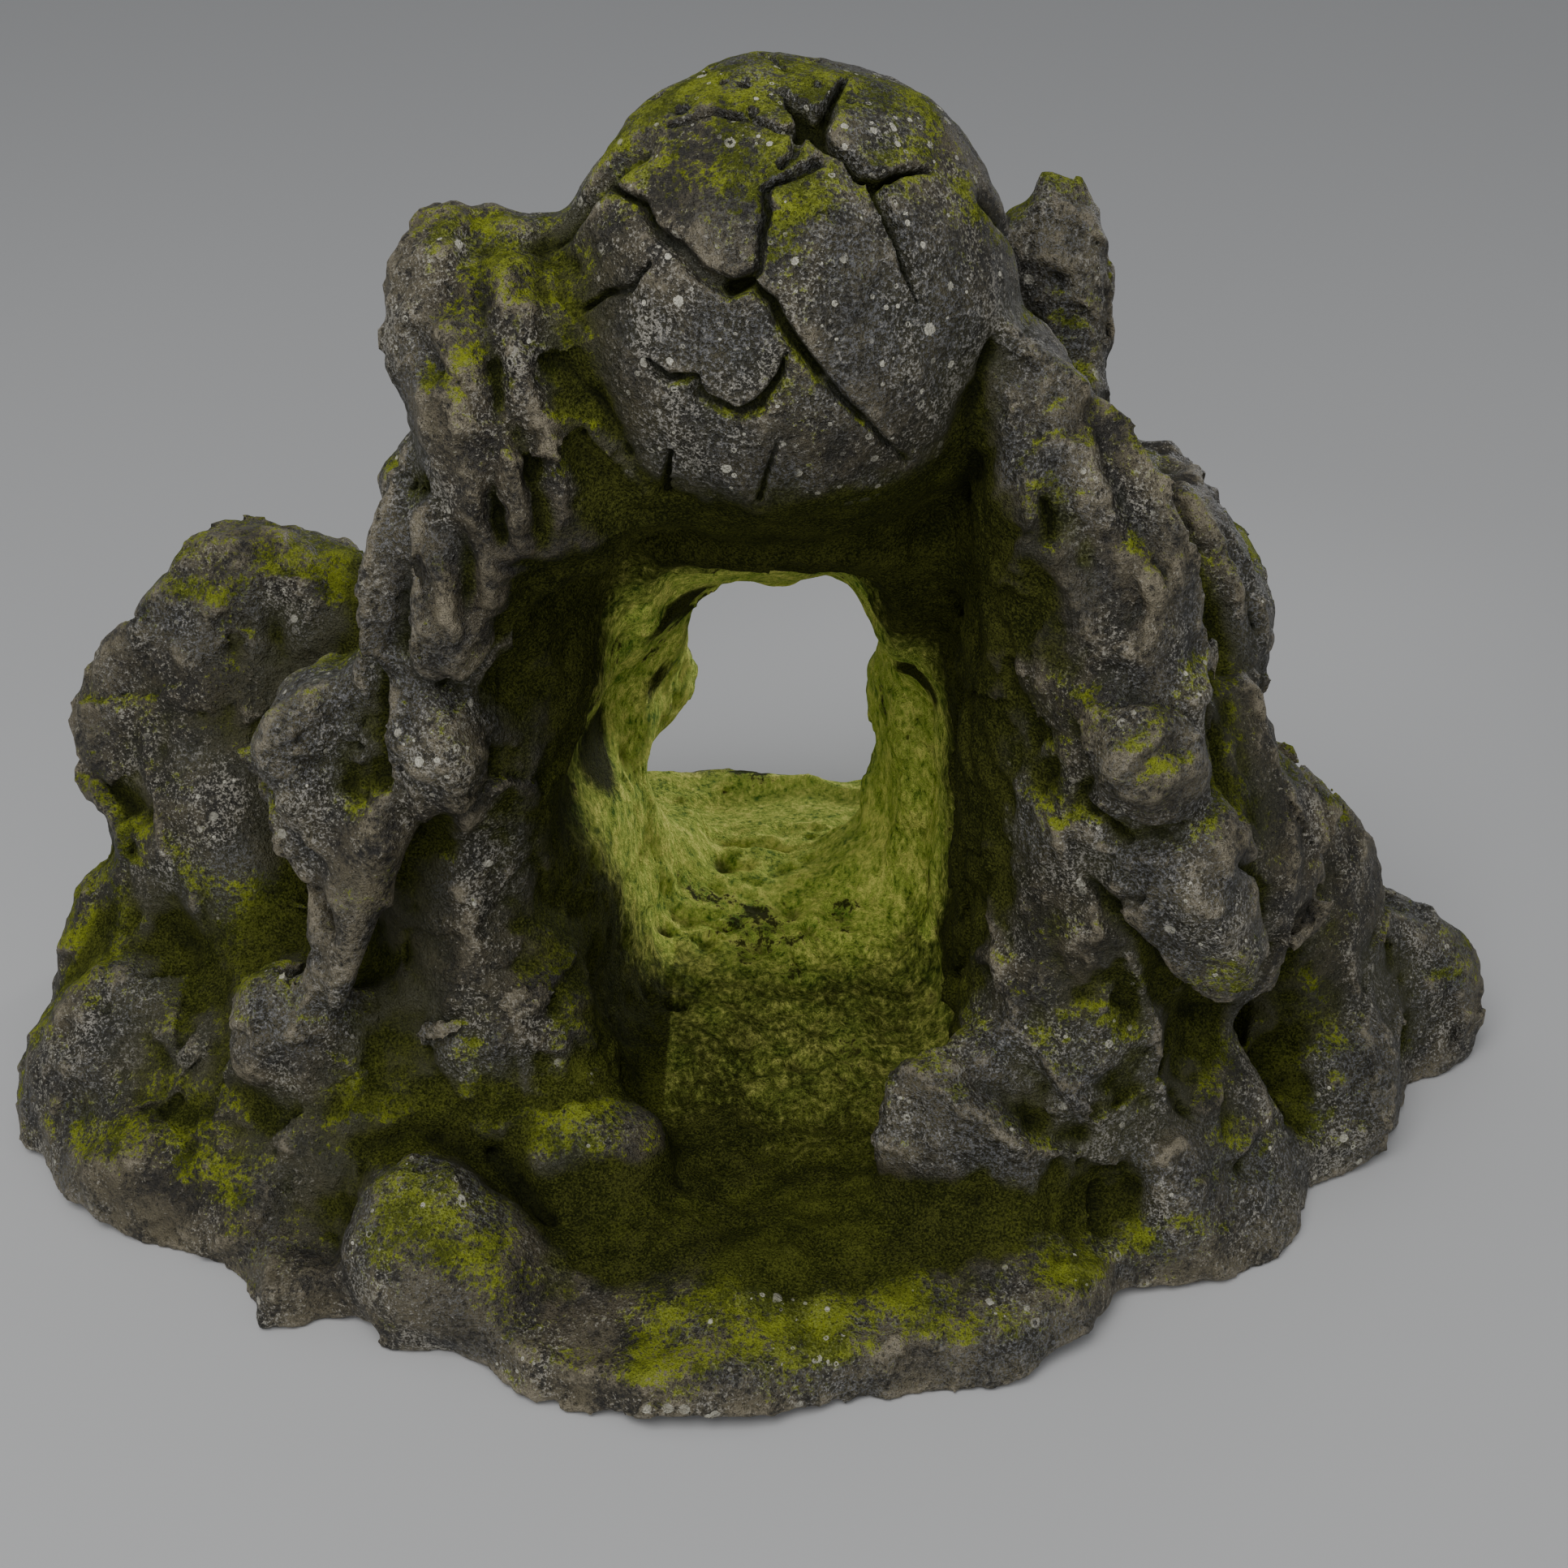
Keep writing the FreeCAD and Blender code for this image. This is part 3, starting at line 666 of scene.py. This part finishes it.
def warped(points):
    """Points shifted a few millimetres to and fro, which makes regular forms irregular."""
    return points + strayed(points, WARPS)


def relief(points, weights):
    """How far the surface is pushed out at each point, for the four kinds of carving."""
    folds, chips, lumps, rubble = weights
    bent = points + strayed(points, BENDS)
    ridge = 1 - 2 * np.abs(FOLD.at(bent, RIDGE_LONG))
    crease = 1 - 2 * np.abs(FOLD_FINE.at(bent, CREASE_LONG))
    large = CHIP.chips(bent, CHIP_LONG, CHIP_TILT)
    small = CHIP_FINE.chips(bent, FLAKE_LONG, FLAKE_TILT)
    heaps = 1 - 2 * np.abs(RUBBLE.layered(bent, RUBBLE_LONG, 3))
    out = folds * (RIDGE_HIGH * ridge + CREASE_HIGH * crease)
    out += chips * (CHIP_HIGH * large + FLAKE_HIGH * small - SHRINK)
    out += lumps * LUMP_HIGH * LUMP.layered(bent, LUMP_LONG, 3)
    out += rubble * RUBBLE_HIGH * heaps
    out += (GRAIN_HIGH + GRAIN_ON_CHIPS * chips) * GRAIN.layered(points, GRAIN_LONG, 2)
    return out


def carved(castings, block, strokes):
    """The carved surface's field on any block, with nothing below the floor."""
    field = castings.block.spread(castings.union, block)
    near = np.abs(field) < BAND
    places = block.points(near)
    weights = [castings.block.sample(weight, places) for weight in castings.weights]
    together = np.column_stack([places, *weights])
    out = in_chunks(lambda some: relief(some[:, :3], some[:, 3:].T), together)
    field[near] -= out
    field[~near] = np.clip(field[~near] * FAR, -FAR, FAR)
    height = (block.first[2] + np.arange(block.shape[2])) * block.step
    return np.maximum(stroked(field, block, strokes), -height.astype(np.float32))


# ---------------------------------------------------------------- pieces

def thinned(places, faces, hidden):
    """Merges the hidden vertices that share a cell, and drops the faces that this flattens."""
    cells = np.floor(places[hidden] / DEEP_CELL).astype(np.int64)
    one_number = np.array([1, 1 << 20, 1 << 40])
    _, group = np.unique(cells @ one_number, return_inverse=True)
    count = np.bincount(group)
    middle = [np.bincount(group, places[hidden, axis]) / count for axis in range(3)]
    kept = int((~hidden).sum())
    number = np.empty(len(places), np.int64)
    number[~hidden] = np.arange(kept)
    number[hidden] = kept + group
    faces = number[faces]
    same = faces == np.roll(faces, -1, axis=1)
    crossed = (faces[:, 0] == faces[:, 2]) | (faces[:, 1] == faces[:, 3])
    whole = faces[~same.any(axis=1) & ~crossed]
    pinched = (same.sum(axis=1) == 1) & ~crossed
    corners = faces[pinched][~same[pinched]].reshape(-1, 3)
    return np.concatenate([places[~hidden], np.stack(middle, axis=1)]), whole, corners


def surface_mesh(block, field, name, hidden):
    """The mesh on which the field is zero, and its vertices in millimetres.

    hidden says which of some points are buried.
    """
    grid = openvdb.FloatGrid(FAR)
    grid.copyFromArray(np.ascontiguousarray(field))
    places, _, quads = grid.convertToPolygons(isovalue=0.0, adaptivity=0.0)
    places = ((places + block.first) * block.step).astype(np.float32)
    places, quads, corners = thinned(places, quads[:, ::-1], hidden(places))
    mesh = bpy.data.meshes.new(name)
    loops = np.concatenate([quads.ravel(), corners.ravel()]).astype(np.int32)
    starts = [np.arange(len(quads)) * 4, len(quads) * 4 + np.arange(len(corners)) * 3]
    mesh.vertices.add(len(places))
    mesh.vertices.foreach_set("co", (places / MM).astype(np.float32).ravel())
    mesh.loops.add(len(loops))
    mesh.loops.foreach_set("vertex_index", loops)
    mesh.polygons.add(len(quads) + len(corners))
    mesh.polygons.foreach_set("loop_start", np.concatenate(starts).astype(np.int32))
    mesh.update(calc_edges=True)
    mesh.shade_smooth()
    mesh.set_sharp_from_angle(angle=SHARP)
    return mesh, places.astype(np.float32)


def store(mesh, name, values):
    attribute = mesh.attributes.new(name, "FLOAT", "POINT")
    attribute.data.foreach_set("value", values.astype(np.float32))


def ramp(values, start, end):
    """0 at start, 1 at end and beyond, and in proportion between; end may be the lesser."""
    return np.clip((values - start) / (end - start), 0, 1)


def growth(places):
    """How much algae each point bears, which fills the passage, and a mask for painted shade at the
    mouth of the passage and under the boulder, which also takes in the dark spots.
    """
    x, y, z = places.T
    low, high = (np.array(corner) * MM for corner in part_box("path_floor"))
    aside = np.abs(x - (low[0] + high[0]) / 2)
    ceiling = np.interp(y, *zip(*CEILING))
    # both stay under the ceiling and, at the rear, on low ground
    inside = ramp(z, ceiling + 16, ceiling + 6) * np.maximum(ramp(y, 74, 58), ramp(z, 34, 24))
    # algae thickens along the floor, and starts further back the lower it is on the left wall
    floor = 0.45 * ramp(y, -60, -10) + 0.55 * ramp(y, 8, 34)
    edge = np.where(x < 0, 0.42 * np.maximum(66 - z, 0) - 22, 0.3 * (x + 30) - 24)
    walls = ramp(y, edge, edge + 20)
    along = np.where((z < 22) & (x > -16), floor, walls) * ramp(y, 108, 100)
    algae = ramp(aside, 42, 34) * along * inside
    # painted shade: a mask that fills the mouth of the passage and lies under the boulder, which the
    # material darkens with fuzz
    mouth = np.maximum(ramp(y, -46, -34), ramp(z, 27, 19) * ramp(y, -80, -62)) * inside
    lintel = ramp(z, 146, 128) * ramp(z, 105, 115) * ramp(y, -2, -18)
    damp = ramp(aside, 50, 30) * np.maximum(mouth, lintel)
    # the dark spots lose their algae and get the same mask, so the same fuzz, as the painted shade
    for *spot, radius in DARK_SPOTS:
        away = np.linalg.norm(places - np.array(spot, np.float32), axis=1) / radius
        algae = algae * ramp(away, 0.6, 1.2)
        damp = np.maximum(damp, 1.5 * ramp(away, 1.2, 0.6))
    return algae, damp


def hollow_maps(whole, skin):
    """How closed in each grid point is, from the last millimetre to far around it."""
    crest = blurred(np.clip(0.5 - skin / FINE, 0, 1), CREST_BLUR)
    half, cavity = halved(whole, crest)
    cavity = blurred(cavity, CAVITY_BLUR)
    quarter, shade = halved(half, cavity)
    shade = blurred(shade, SHADE_BLUR)
    gloom = blurred(shade, GLOOM_BLUR)
    return {
        "crest": (whole, crest),
        "cavity": (half, cavity),
        "shade": (quarter, shade),
        "gloom": (quarter, gloom),
    }


def carve_piece(node, castings, whole, skin, strokes):
    """One casting's part of the rock, as a mesh, and its vertices in millimetres."""
    share_block, share = castings.share(node)
    step = FINEST if node in FINEST_NODES else FINE
    low = share_block.first * COARSE + PIECE_RIM[0]
    high = (share_block.first + share_block.shape) * COARSE - PIECE_RIM[1]
    block = Block(low, high, step)
    field = skin[block.within(whole)] if step == FINE else carved(castings, block, strokes)
    field = np.maximum(field, share_block.spread(share, block))

    def buried(places):
        deep = whole.sample(skin, places) < -DEEP
        return deep & (share_block.sample(share, places) > -JOINT_LAP)

    return surface_mesh(block, field, node + "_stone", buried)


def carve_all():
    """Carves every casting's piece and returns them by name."""
    castings = Castings()
    low, high = (np.array(corner) * MM for corner in cad_box)
    whole = Block(low - MARGIN, high + MARGIN, FINE)
    strokes = all_strokes(castings)
    skin = carved(castings, whole, strokes)
    maps = hollow_maps(whole, skin)
    pieces = {}
    for node in castings.nodes:
        mesh, places = carve_piece(node, castings, whole, skin, strokes)
        for name, (block, values) in maps.items():
            store(mesh, name, block.sample(values, places))
        algae, damp = growth(places)
        store(mesh, "algae", algae)
        store(mesh, "damp", damp)
        piece = bpy.data.objects.new(node + "_stone", mesh)
        bpy.context.scene.collection.objects.link(piece)
        pieces[node] = piece
    return pieces


# ---------------------------------------------------------------- materials

DARK_STONE = (0.011, 0.009, 0.006)
MID_STONE = (0.060, 0.049, 0.027)
# stone in painted light, on open and convex parts
PAINTED_LIGHT_STONE = (0.135, 0.115, 0.068)
PALE_GRAIN = (0.270, 0.252, 0.210)
BLUE_GRAIN = (0.108, 0.110, 0.118)
# worn edges, lightened partly as a painted highlight
WORN_EDGE_AND_HIGHLIGHT = (0.215, 0.186, 0.128)
# olive, which also stands for painted shade in hollows
OLIVE_STONE = (0.034, 0.034, 0.009)
# the dark of the painted shade in crevices, also used for dark blots in the algae
CREVICE_SHADE_AND_BLOTS = (0.006, 0.007, 0.002)
# fuzz, which is partly painted shade in hollows and under overhangs
FUZZ_AND_SHADE_DARK = (0.010, 0.013, 0.001)
FUZZ_AND_SHADE_LIGHT = (0.060, 0.066, 0.010)
MOSS_DARK = (0.060, 0.072, 0.006)
MOSS_BRIGHT = (0.190, 0.220, 0.014)
LICHEN = (0.500, 0.480, 0.390)
ALGAE_DARK = (0.090, 0.200, 0.026)
ALGAE_MID = (0.440, 0.530, 0.085)
ALGAE_BRIGHT = (0.780, 0.780, 0.190)


class Paint:
    """A material under construction, with short calls for the nodes it is made of."""

    def __init__(self, name):
        self.material = bpy.data.materials.new(name)
        self.material.use_nodes = True
        self.tree = self.material.node_tree
        self.shader = self.tree.nodes["Principled BSDF"]
        self.place = self.tree.nodes.new("ShaderNodeTexCoord").outputs["Object"]

    def feed(self, socket, value):
        if isinstance(value, bpy.types.NodeSocket):
            self.tree.links.new(value, socket)
        elif isinstance(value, tuple) and len(value) == 3 and len(socket.default_value) == 4:
            socket.default_value = (*value, 1)
        else:
            socket.default_value = value

    def node(self, kind, inputs, **settings):
        """A new node with its settings, and its inputs linked to sockets or set to values."""
        node = self.tree.nodes.new("ShaderNode" + kind)
        for name, value in settings.items():
            setattr(node, name, value)
        for name, value in inputs.items():
            self.feed(node.inputs[name], value)
        return node

    def attribute(self, name):
        return self.node("Attribute", {}, attribute_name=name).outputs["Fac"]

    def stretched(self, factors):
        inputs = {0: self.place, 1: factors}
        return self.node("VectorMath", inputs, operation="MULTIPLY").outputs[0]

    def noise(self, size, detail=3.0, rough=0.55, place=None, twist=0.0):
        """Noise whose largest lumps are about size millimetres across."""
        return self.node("TexNoise", {
            "Vector": place or self.place,
            "Scale": MM / size,
            "Detail": detail,
            "Roughness": rough,
            "Distortion": twist,
        }).outputs["Fac"]

    def cells(self, size):
        """Voronoi cells about size millimetres across."""
        return self.node("TexVoronoi", {"Vector": self.place, "Scale": MM / size}).outputs

    def axes(self, vector):
        """The three parts of a vector or a colour."""
        return self.node("SeparateXYZ", {0: vector}).outputs

    def sums(self, operation, a, b):
        return self.node("Math", {0: a, 1: b}, operation=operation).outputs[0]

    def step(self, value, low, high):
        """0 below low, 1 above high, and a smooth ramp between; high may be the lesser."""
        inputs = {"Value": value, "From Min": low, "From Max": high}
        return self.node("MapRange", inputs, interpolation_type="SMOOTHSTEP").outputs["Result"]

    def mix(self, amount, a, b):
        """Colour a, turned into colour b by an amount from 0 to 1."""
        first, second, result = 6, 7, 2     # the sockets for colours
        inputs = {"Factor": amount, first: a, second: b}
        return self.node("Mix", inputs, data_type="RGBA").outputs[result]

    def around_half(self, value, height):
        """A value from 0 to 1 made to swing about 0, scaled by height."""
        return self.sums("MULTIPLY", self.sums("SUBTRACT", value, 0.5), height)

    def dots(self, size, share, ragged):
        """Lichen: round spots, some of them hollow, in a share of the cells of the given size."""
        cell = self.cells(size)
        chosen, breadth, kind = self.axes(cell["Color"])
        broad = self.sums("MULTIPLY", self.sums("MULTIPLY", breadth, breadth), 0.20)
        radius = self.sums("ADD", broad, 0.09)
        away = self.sums("ADD", cell["Distance"], ragged)
        spot = self.sums(
            "MULTIPLY",
            self.sums("LESS_THAN", away, radius),
            self.sums("LESS_THAN", chosen, share),
        )
        rim = self.sums("GREATER_THAN", away, self.sums("MULTIPLY", radius, 0.55))
        filled_in = self.sums("LESS_THAN", kind, 0.6)
        shown = self.sums("MAXIMUM", self.sums("MULTIPLY", rim, 0.7), filled_in)
        return self.sums("MULTIPLY", spot, shown)

    def bump(self, height, depth, before=None):
        """A bump whose height from 0 to 1 stands for depth millimetres."""
        inputs = {"Distance": depth / MM, "Height": height}
        if before:
            inputs["Normal"] = before
        return self.node("Bump", inputs).outputs["Normal"]


def stone_material(name, moss, lichen, fuzz_and_shade):
    """Painted resin stone: grain, worn edges partly as a painted highlight, painted light on open
    parts, fuzz and painted shade in hollows, painted shade in crevices, moss on top, lichen and algae.

    The last three say how much more moss, lichen, and fuzz with its painted shade there is than usual,
    or less if under 0.
    """
    paint = Paint(name)
    step, mix = paint.step, paint.mix
    times, plus, most = (partial(paint.sums, kind) for kind in ("MULTIPLY", "ADD", "MAXIMUM"))
    crest, cavity, near_shade = map(paint.attribute, ("crest", "cavity", "shade"))
    algae, damp, gloom = map(paint.attribute, ("algae", "damp", "gloom"))
    shade = plus(times(near_shade, 0.5), times(gloom, 0.5))
    facing = paint.node("NewGeometry", {}).outputs["Normal"]
    upward = paint.axes(facing)["Z"]

    broad = paint.noise(38, 4)
    patches = paint.noise(21, 6, 0.62)
    mottle = paint.noise(7, 6, 0.7)
    clouds = paint.noise(11, 3, 0.6, paint.stretched((1.0, 1.0, 0.6)))
    grain = paint.noise(0.9, 3, 0.75)
    fine = paint.noise(0.4, 2, 0.6)
    specks = plus(grain, fine)

    # stone: dark and light tones with painted light on open parts, an olive cast that is painted shade
    # in hollows, blue and pale grains, pocks, worn edges that are partly a painted highlight
    tone = plus(times(mottle, 0.65), times(grain, 0.35))
    stone = mix(step(tone, 0.42, 0.62), DARK_STONE, MID_STONE)
    # stone out of the painted shade: only there do the light tone, grains, pocks, worn edges and
    # lichen show
    bare_and_unshaded = times(step(shade, 0.54, 0.40), step(damp, 0.6, 0.1))
    # painted light: the stone is lighter where it is open and convex, in random patches
    painted_light_where_open = step(plus(shade, times(cavity, 0.5)), 0.68, 0.46)
    light = times(painted_light_where_open, step(tone, 0.36, 0.56))
    stone = mix(times(times(light, bare_and_unshaded), 0.62), stone, PAINTED_LIGHT_STONE)
    # painted shade: an olive darkening in hollows, plus broad random patches of olive
    olive_and_painted_shade = plus(times(step(shade, 0.36, 0.52), 0.6), times(step(broad, 0.42, 0.62), 0.3))
    stone = mix(olive_and_painted_shade, stone, OLIVE_STONE)
    blue = times(step(broad, 0.42, 0.58), step(specks, 0.94, 1.12))
    stone = mix(times(times(blue, bare_and_unshaded), 0.75), stone, BLUE_GRAIN)
    pale = step(plus(specks, times(clouds, 0.9)), 1.54, 1.72)
    stone = mix(times(times(pale, bare_and_unshaded), 0.85), stone, PALE_GRAIN)
    pocks = step(plus(grain, times(mottle, 0.4)), 0.62, 0.54)
    stone = mix(times(times(pocks, bare_and_unshaded), 0.7), stone, DARK_STONE)
    # worn edges on crests, partly worn paint and partly a painted highlight
    ridge = times(step(cavity, 0.46, 0.36), step(crest, 0.50, 0.43))
    ridge = times(ridge, step(plus(mottle, times(grain, 0.5)), 0.66, 0.90))
    stone = mix(times(times(ridge, bare_and_unshaded), 0.75), stone, WORN_EDGE_AND_HIGHLIGHT)

    # moss, in patches that favour faces turned upwards
    lying = step(upward, -0.1, 0.9)
    cover = plus(plus(patches, times(lying, 0.17)), paint.around_half(grain, 0.6))
    moss_at = step(cover, 0.66 - moss, 0.77 - moss)
    moss_tone = step(plus(mottle, times(fine, 0.4)), 0.58, 0.80)
    stone = mix(times(moss_at, 0.88), stone, mix(moss_tone, MOSS_DARK, MOSS_BRIGHT))

    # fuzz, which is partly painted shade: in hollows, under overhangs, at the mouth of the passage,
    # under the boulder and at the dark spots
    spread = plus(shade, plus(paint.around_half(patches, 0.5), paint.around_half(cavity, 0.5)))
    spread = plus(spread, plus(times(damp, 0.30), times(step(upward, 0.0, -0.6), 0.06)))
    fuzz_and_shade_at = step(spread, 0.46 - fuzz_and_shade, 0.60 - fuzz_and_shade)
    fuzz_and_shade_tone = step(plus(fine, times(mottle, 0.5)), 0.60, 0.92)
    stone = mix(times(fuzz_and_shade_at, 0.9), stone, mix(fuzz_and_shade_tone, FUZZ_AND_SHADE_DARK, FUZZ_AND_SHADE_LIGHT))

    # lichen spots, on open stone
    thriving = step(plus(clouds, times(broad, 0.7)), 0.84 - lichen, 1.00 - lichen)
    ragged = paint.around_half(grain, 0.25)
    dots = most(paint.dots(3.4, 0.55, ragged), paint.dots(1.7, 0.45, ragged))
    lichen_at = times(times(dots, thriving), times(step(cavity, 0.56, 0.48), bare_and_unshaded))
    stone = mix(times(lichen_at, 0.85), stone, LICHEN)

    # algae, which lines the passage
    streaks = paint.noise(1.1, 4, 0.7, paint.stretched((1.0, 0.7, 0.5)), 0.1)
    sheen = plus(times(streaks, 0.55), times(mottle, 0.45))
    algae_tone = mix(step(sheen, 0.36, 0.50), ALGAE_DARK, ALGAE_MID)
    algae_tone = mix(step(sheen, 0.48, 0.60), algae_tone, ALGAE_BRIGHT)
    blots = step(plus(patches, times(streaks, 0.35)), 0.78, 0.84)
    algae_tone = mix(times(blots, 0.93), algae_tone, CREVICE_SHADE_AND_BLOTS)
    uneven = times(paint.sums("SUBTRACT", plus(patches, streaks), 1.0), 0.9)
    algae_at = step(plus(algae, times(uneven, step(algae, 0.0, 0.1))), 0.2, 0.9)
    stone = mix(times(algae_at, 0.95), stone, algae_tone)

    # painted shade in crevices and pits, which stays dark whatever grows round them
    deep = most(step(cavity, 0.56, 0.74), step(crest, 0.57, 0.70))
    stone = mix(times(deep, 0.8), stone, CREVICE_SHADE_AND_BLOTS)
    paint.feed(paint.shader.inputs["Base Color"], stone)

    soft = most(most(moss_at, fuzz_and_shade_at), algae_at)
    roughness = plus(plus(times(grain, 0.3), 0.42), times(soft, 0.3))
    paint.feed(paint.shader.inputs["Roughness"], roughness)
    gloss = paint.sums("SUBTRACT", 0.4, times(soft, 0.32))
    paint.feed(paint.shader.inputs["Specular IOR Level"], gloss)

    bumps = paint.bump(mottle, 1.6)
    bumps = paint.bump(paint.cells(1.9)["Distance"], 0.2, bumps)
    bumps = paint.bump(grain, 0.9, bumps)
    bumps = paint.bump(fine, 0.35, bumps)
    bumps = paint.bump(times(sheen, algae_at), 1.3, bumps)
    paint.feed(paint.shader.inputs["Normal"], bumps)
    return paint.material


# ---------------------------------------------------------------- the scene

LENS, SENSOR = 50, 36                   # millimetres
CAMERA_AT = (0.0056, -0.336, 0.258)     # metres
CAMERA_TILT = math.radians(60)          # up from straight down
FLOOR_REACH = 4.0                       # metres from the middle to each edge
FLOOR_COLOUR = (0.42, 0.42, 0.42, 1)
SKY_COLOUR = (0.8, 0.82, 0.85, 1)
SKY_STRENGTH = 0.5
# name, place in metres, turn in degrees, spread in degrees, size in metres, power in watts
LIGHTS = (
    ("key", (-0.20, -0.50, 0.90), (29, -12, 0), 180, 0.6, 7.0),
    ("fill", (0.0, -0.95, 0.22), (80, 0, 0), 180, 0.6, 3.2),
    ("back", (0.30, 0.48, 0.16), (79, 0, 145), 20, 0.16, 0.07),
)


def place_camera():
    """The camera, in front of the arch and looking 30 degrees down."""
    camera = bpy.data.objects.new("camera", bpy.data.cameras.new("camera"))
    camera.data.lens = LENS
    camera.data.sensor_width = SENSOR
    camera.location = CAMERA_AT
    camera.rotation_euler = (CAMERA_TILT, 0, 0)
    camera.data.clip_start = 0.01
    bpy.context.scene.collection.objects.link(camera)
    bpy.context.scene.camera = camera


def place_floor():
    mesh = bpy.data.meshes.new("floor")
    reach = FLOOR_REACH
    mesh.from_pydata(
        [(-reach, -reach, 0), (reach, -reach, 0), (reach, reach, 0), (-reach, reach, 0)],
        [], [(0, 1, 2, 3)],
    )
    floor = bpy.data.objects.new("floor", mesh)
    bpy.context.scene.collection.objects.link(floor)
    material = bpy.data.materials.new("floor_paint")
    material.use_nodes = True
    shader = material.node_tree.nodes["Principled BSDF"]
    shader.inputs["Base Color"].default_value = FLOOR_COLOUR
    shader.inputs["Roughness"].default_value = 0.9
    mesh.materials.append(material)


def place_lights():
    world = bpy.data.worlds.new("studio")
    world.use_nodes = True
    background = world.node_tree.nodes["Background"]
    background.inputs["Color"].default_value = SKY_COLOUR
    background.inputs["Strength"].default_value = SKY_STRENGTH
    bpy.context.scene.world = world
    for name, place, turn, spread, size, power in LIGHTS:
        light = bpy.data.lights.new(name, "AREA")
        light.spread = math.radians(spread)
        light.size = size
        light.energy = power
        lamp = bpy.data.objects.new(name, light)
        lamp.location = place
        lamp.rotation_euler = [math.radians(angle) for angle in turn]
        bpy.context.scene.collection.objects.link(lamp)


def dress(pieces):
    """Gives each piece its material, puts it under the body, and hides the casting it stands for."""
    slots = {part["node"]: part["material_slot"] for part in frame["record"]["subparts"]}
    # for each slot: the material's name, then its moss, lichen, and fuzz with its painted shade
    materials = {
        "stone_resin": stone_material("stone_paint", 0.02, 0.0, 0.0),
        "boulder_resin": stone_material("boulder_paint", 0.06, 0.12, -0.02),
        "ground_resin": stone_material("ground_paint", 0.03, 0.05, 0.04),
        "moss_path_resin": stone_material("path_paint", 0.02, -0.2, 0.20),
        "passage_resin": stone_material("passage_paint", 0.0, -0.1, 0.08),
    }
    for node, piece in pieces.items():
        piece.data.materials.append(materials[slots[node]])
        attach(piece, BODY)
        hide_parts(node)


place_camera()
place_floor()
place_lights()
dress(carve_all())
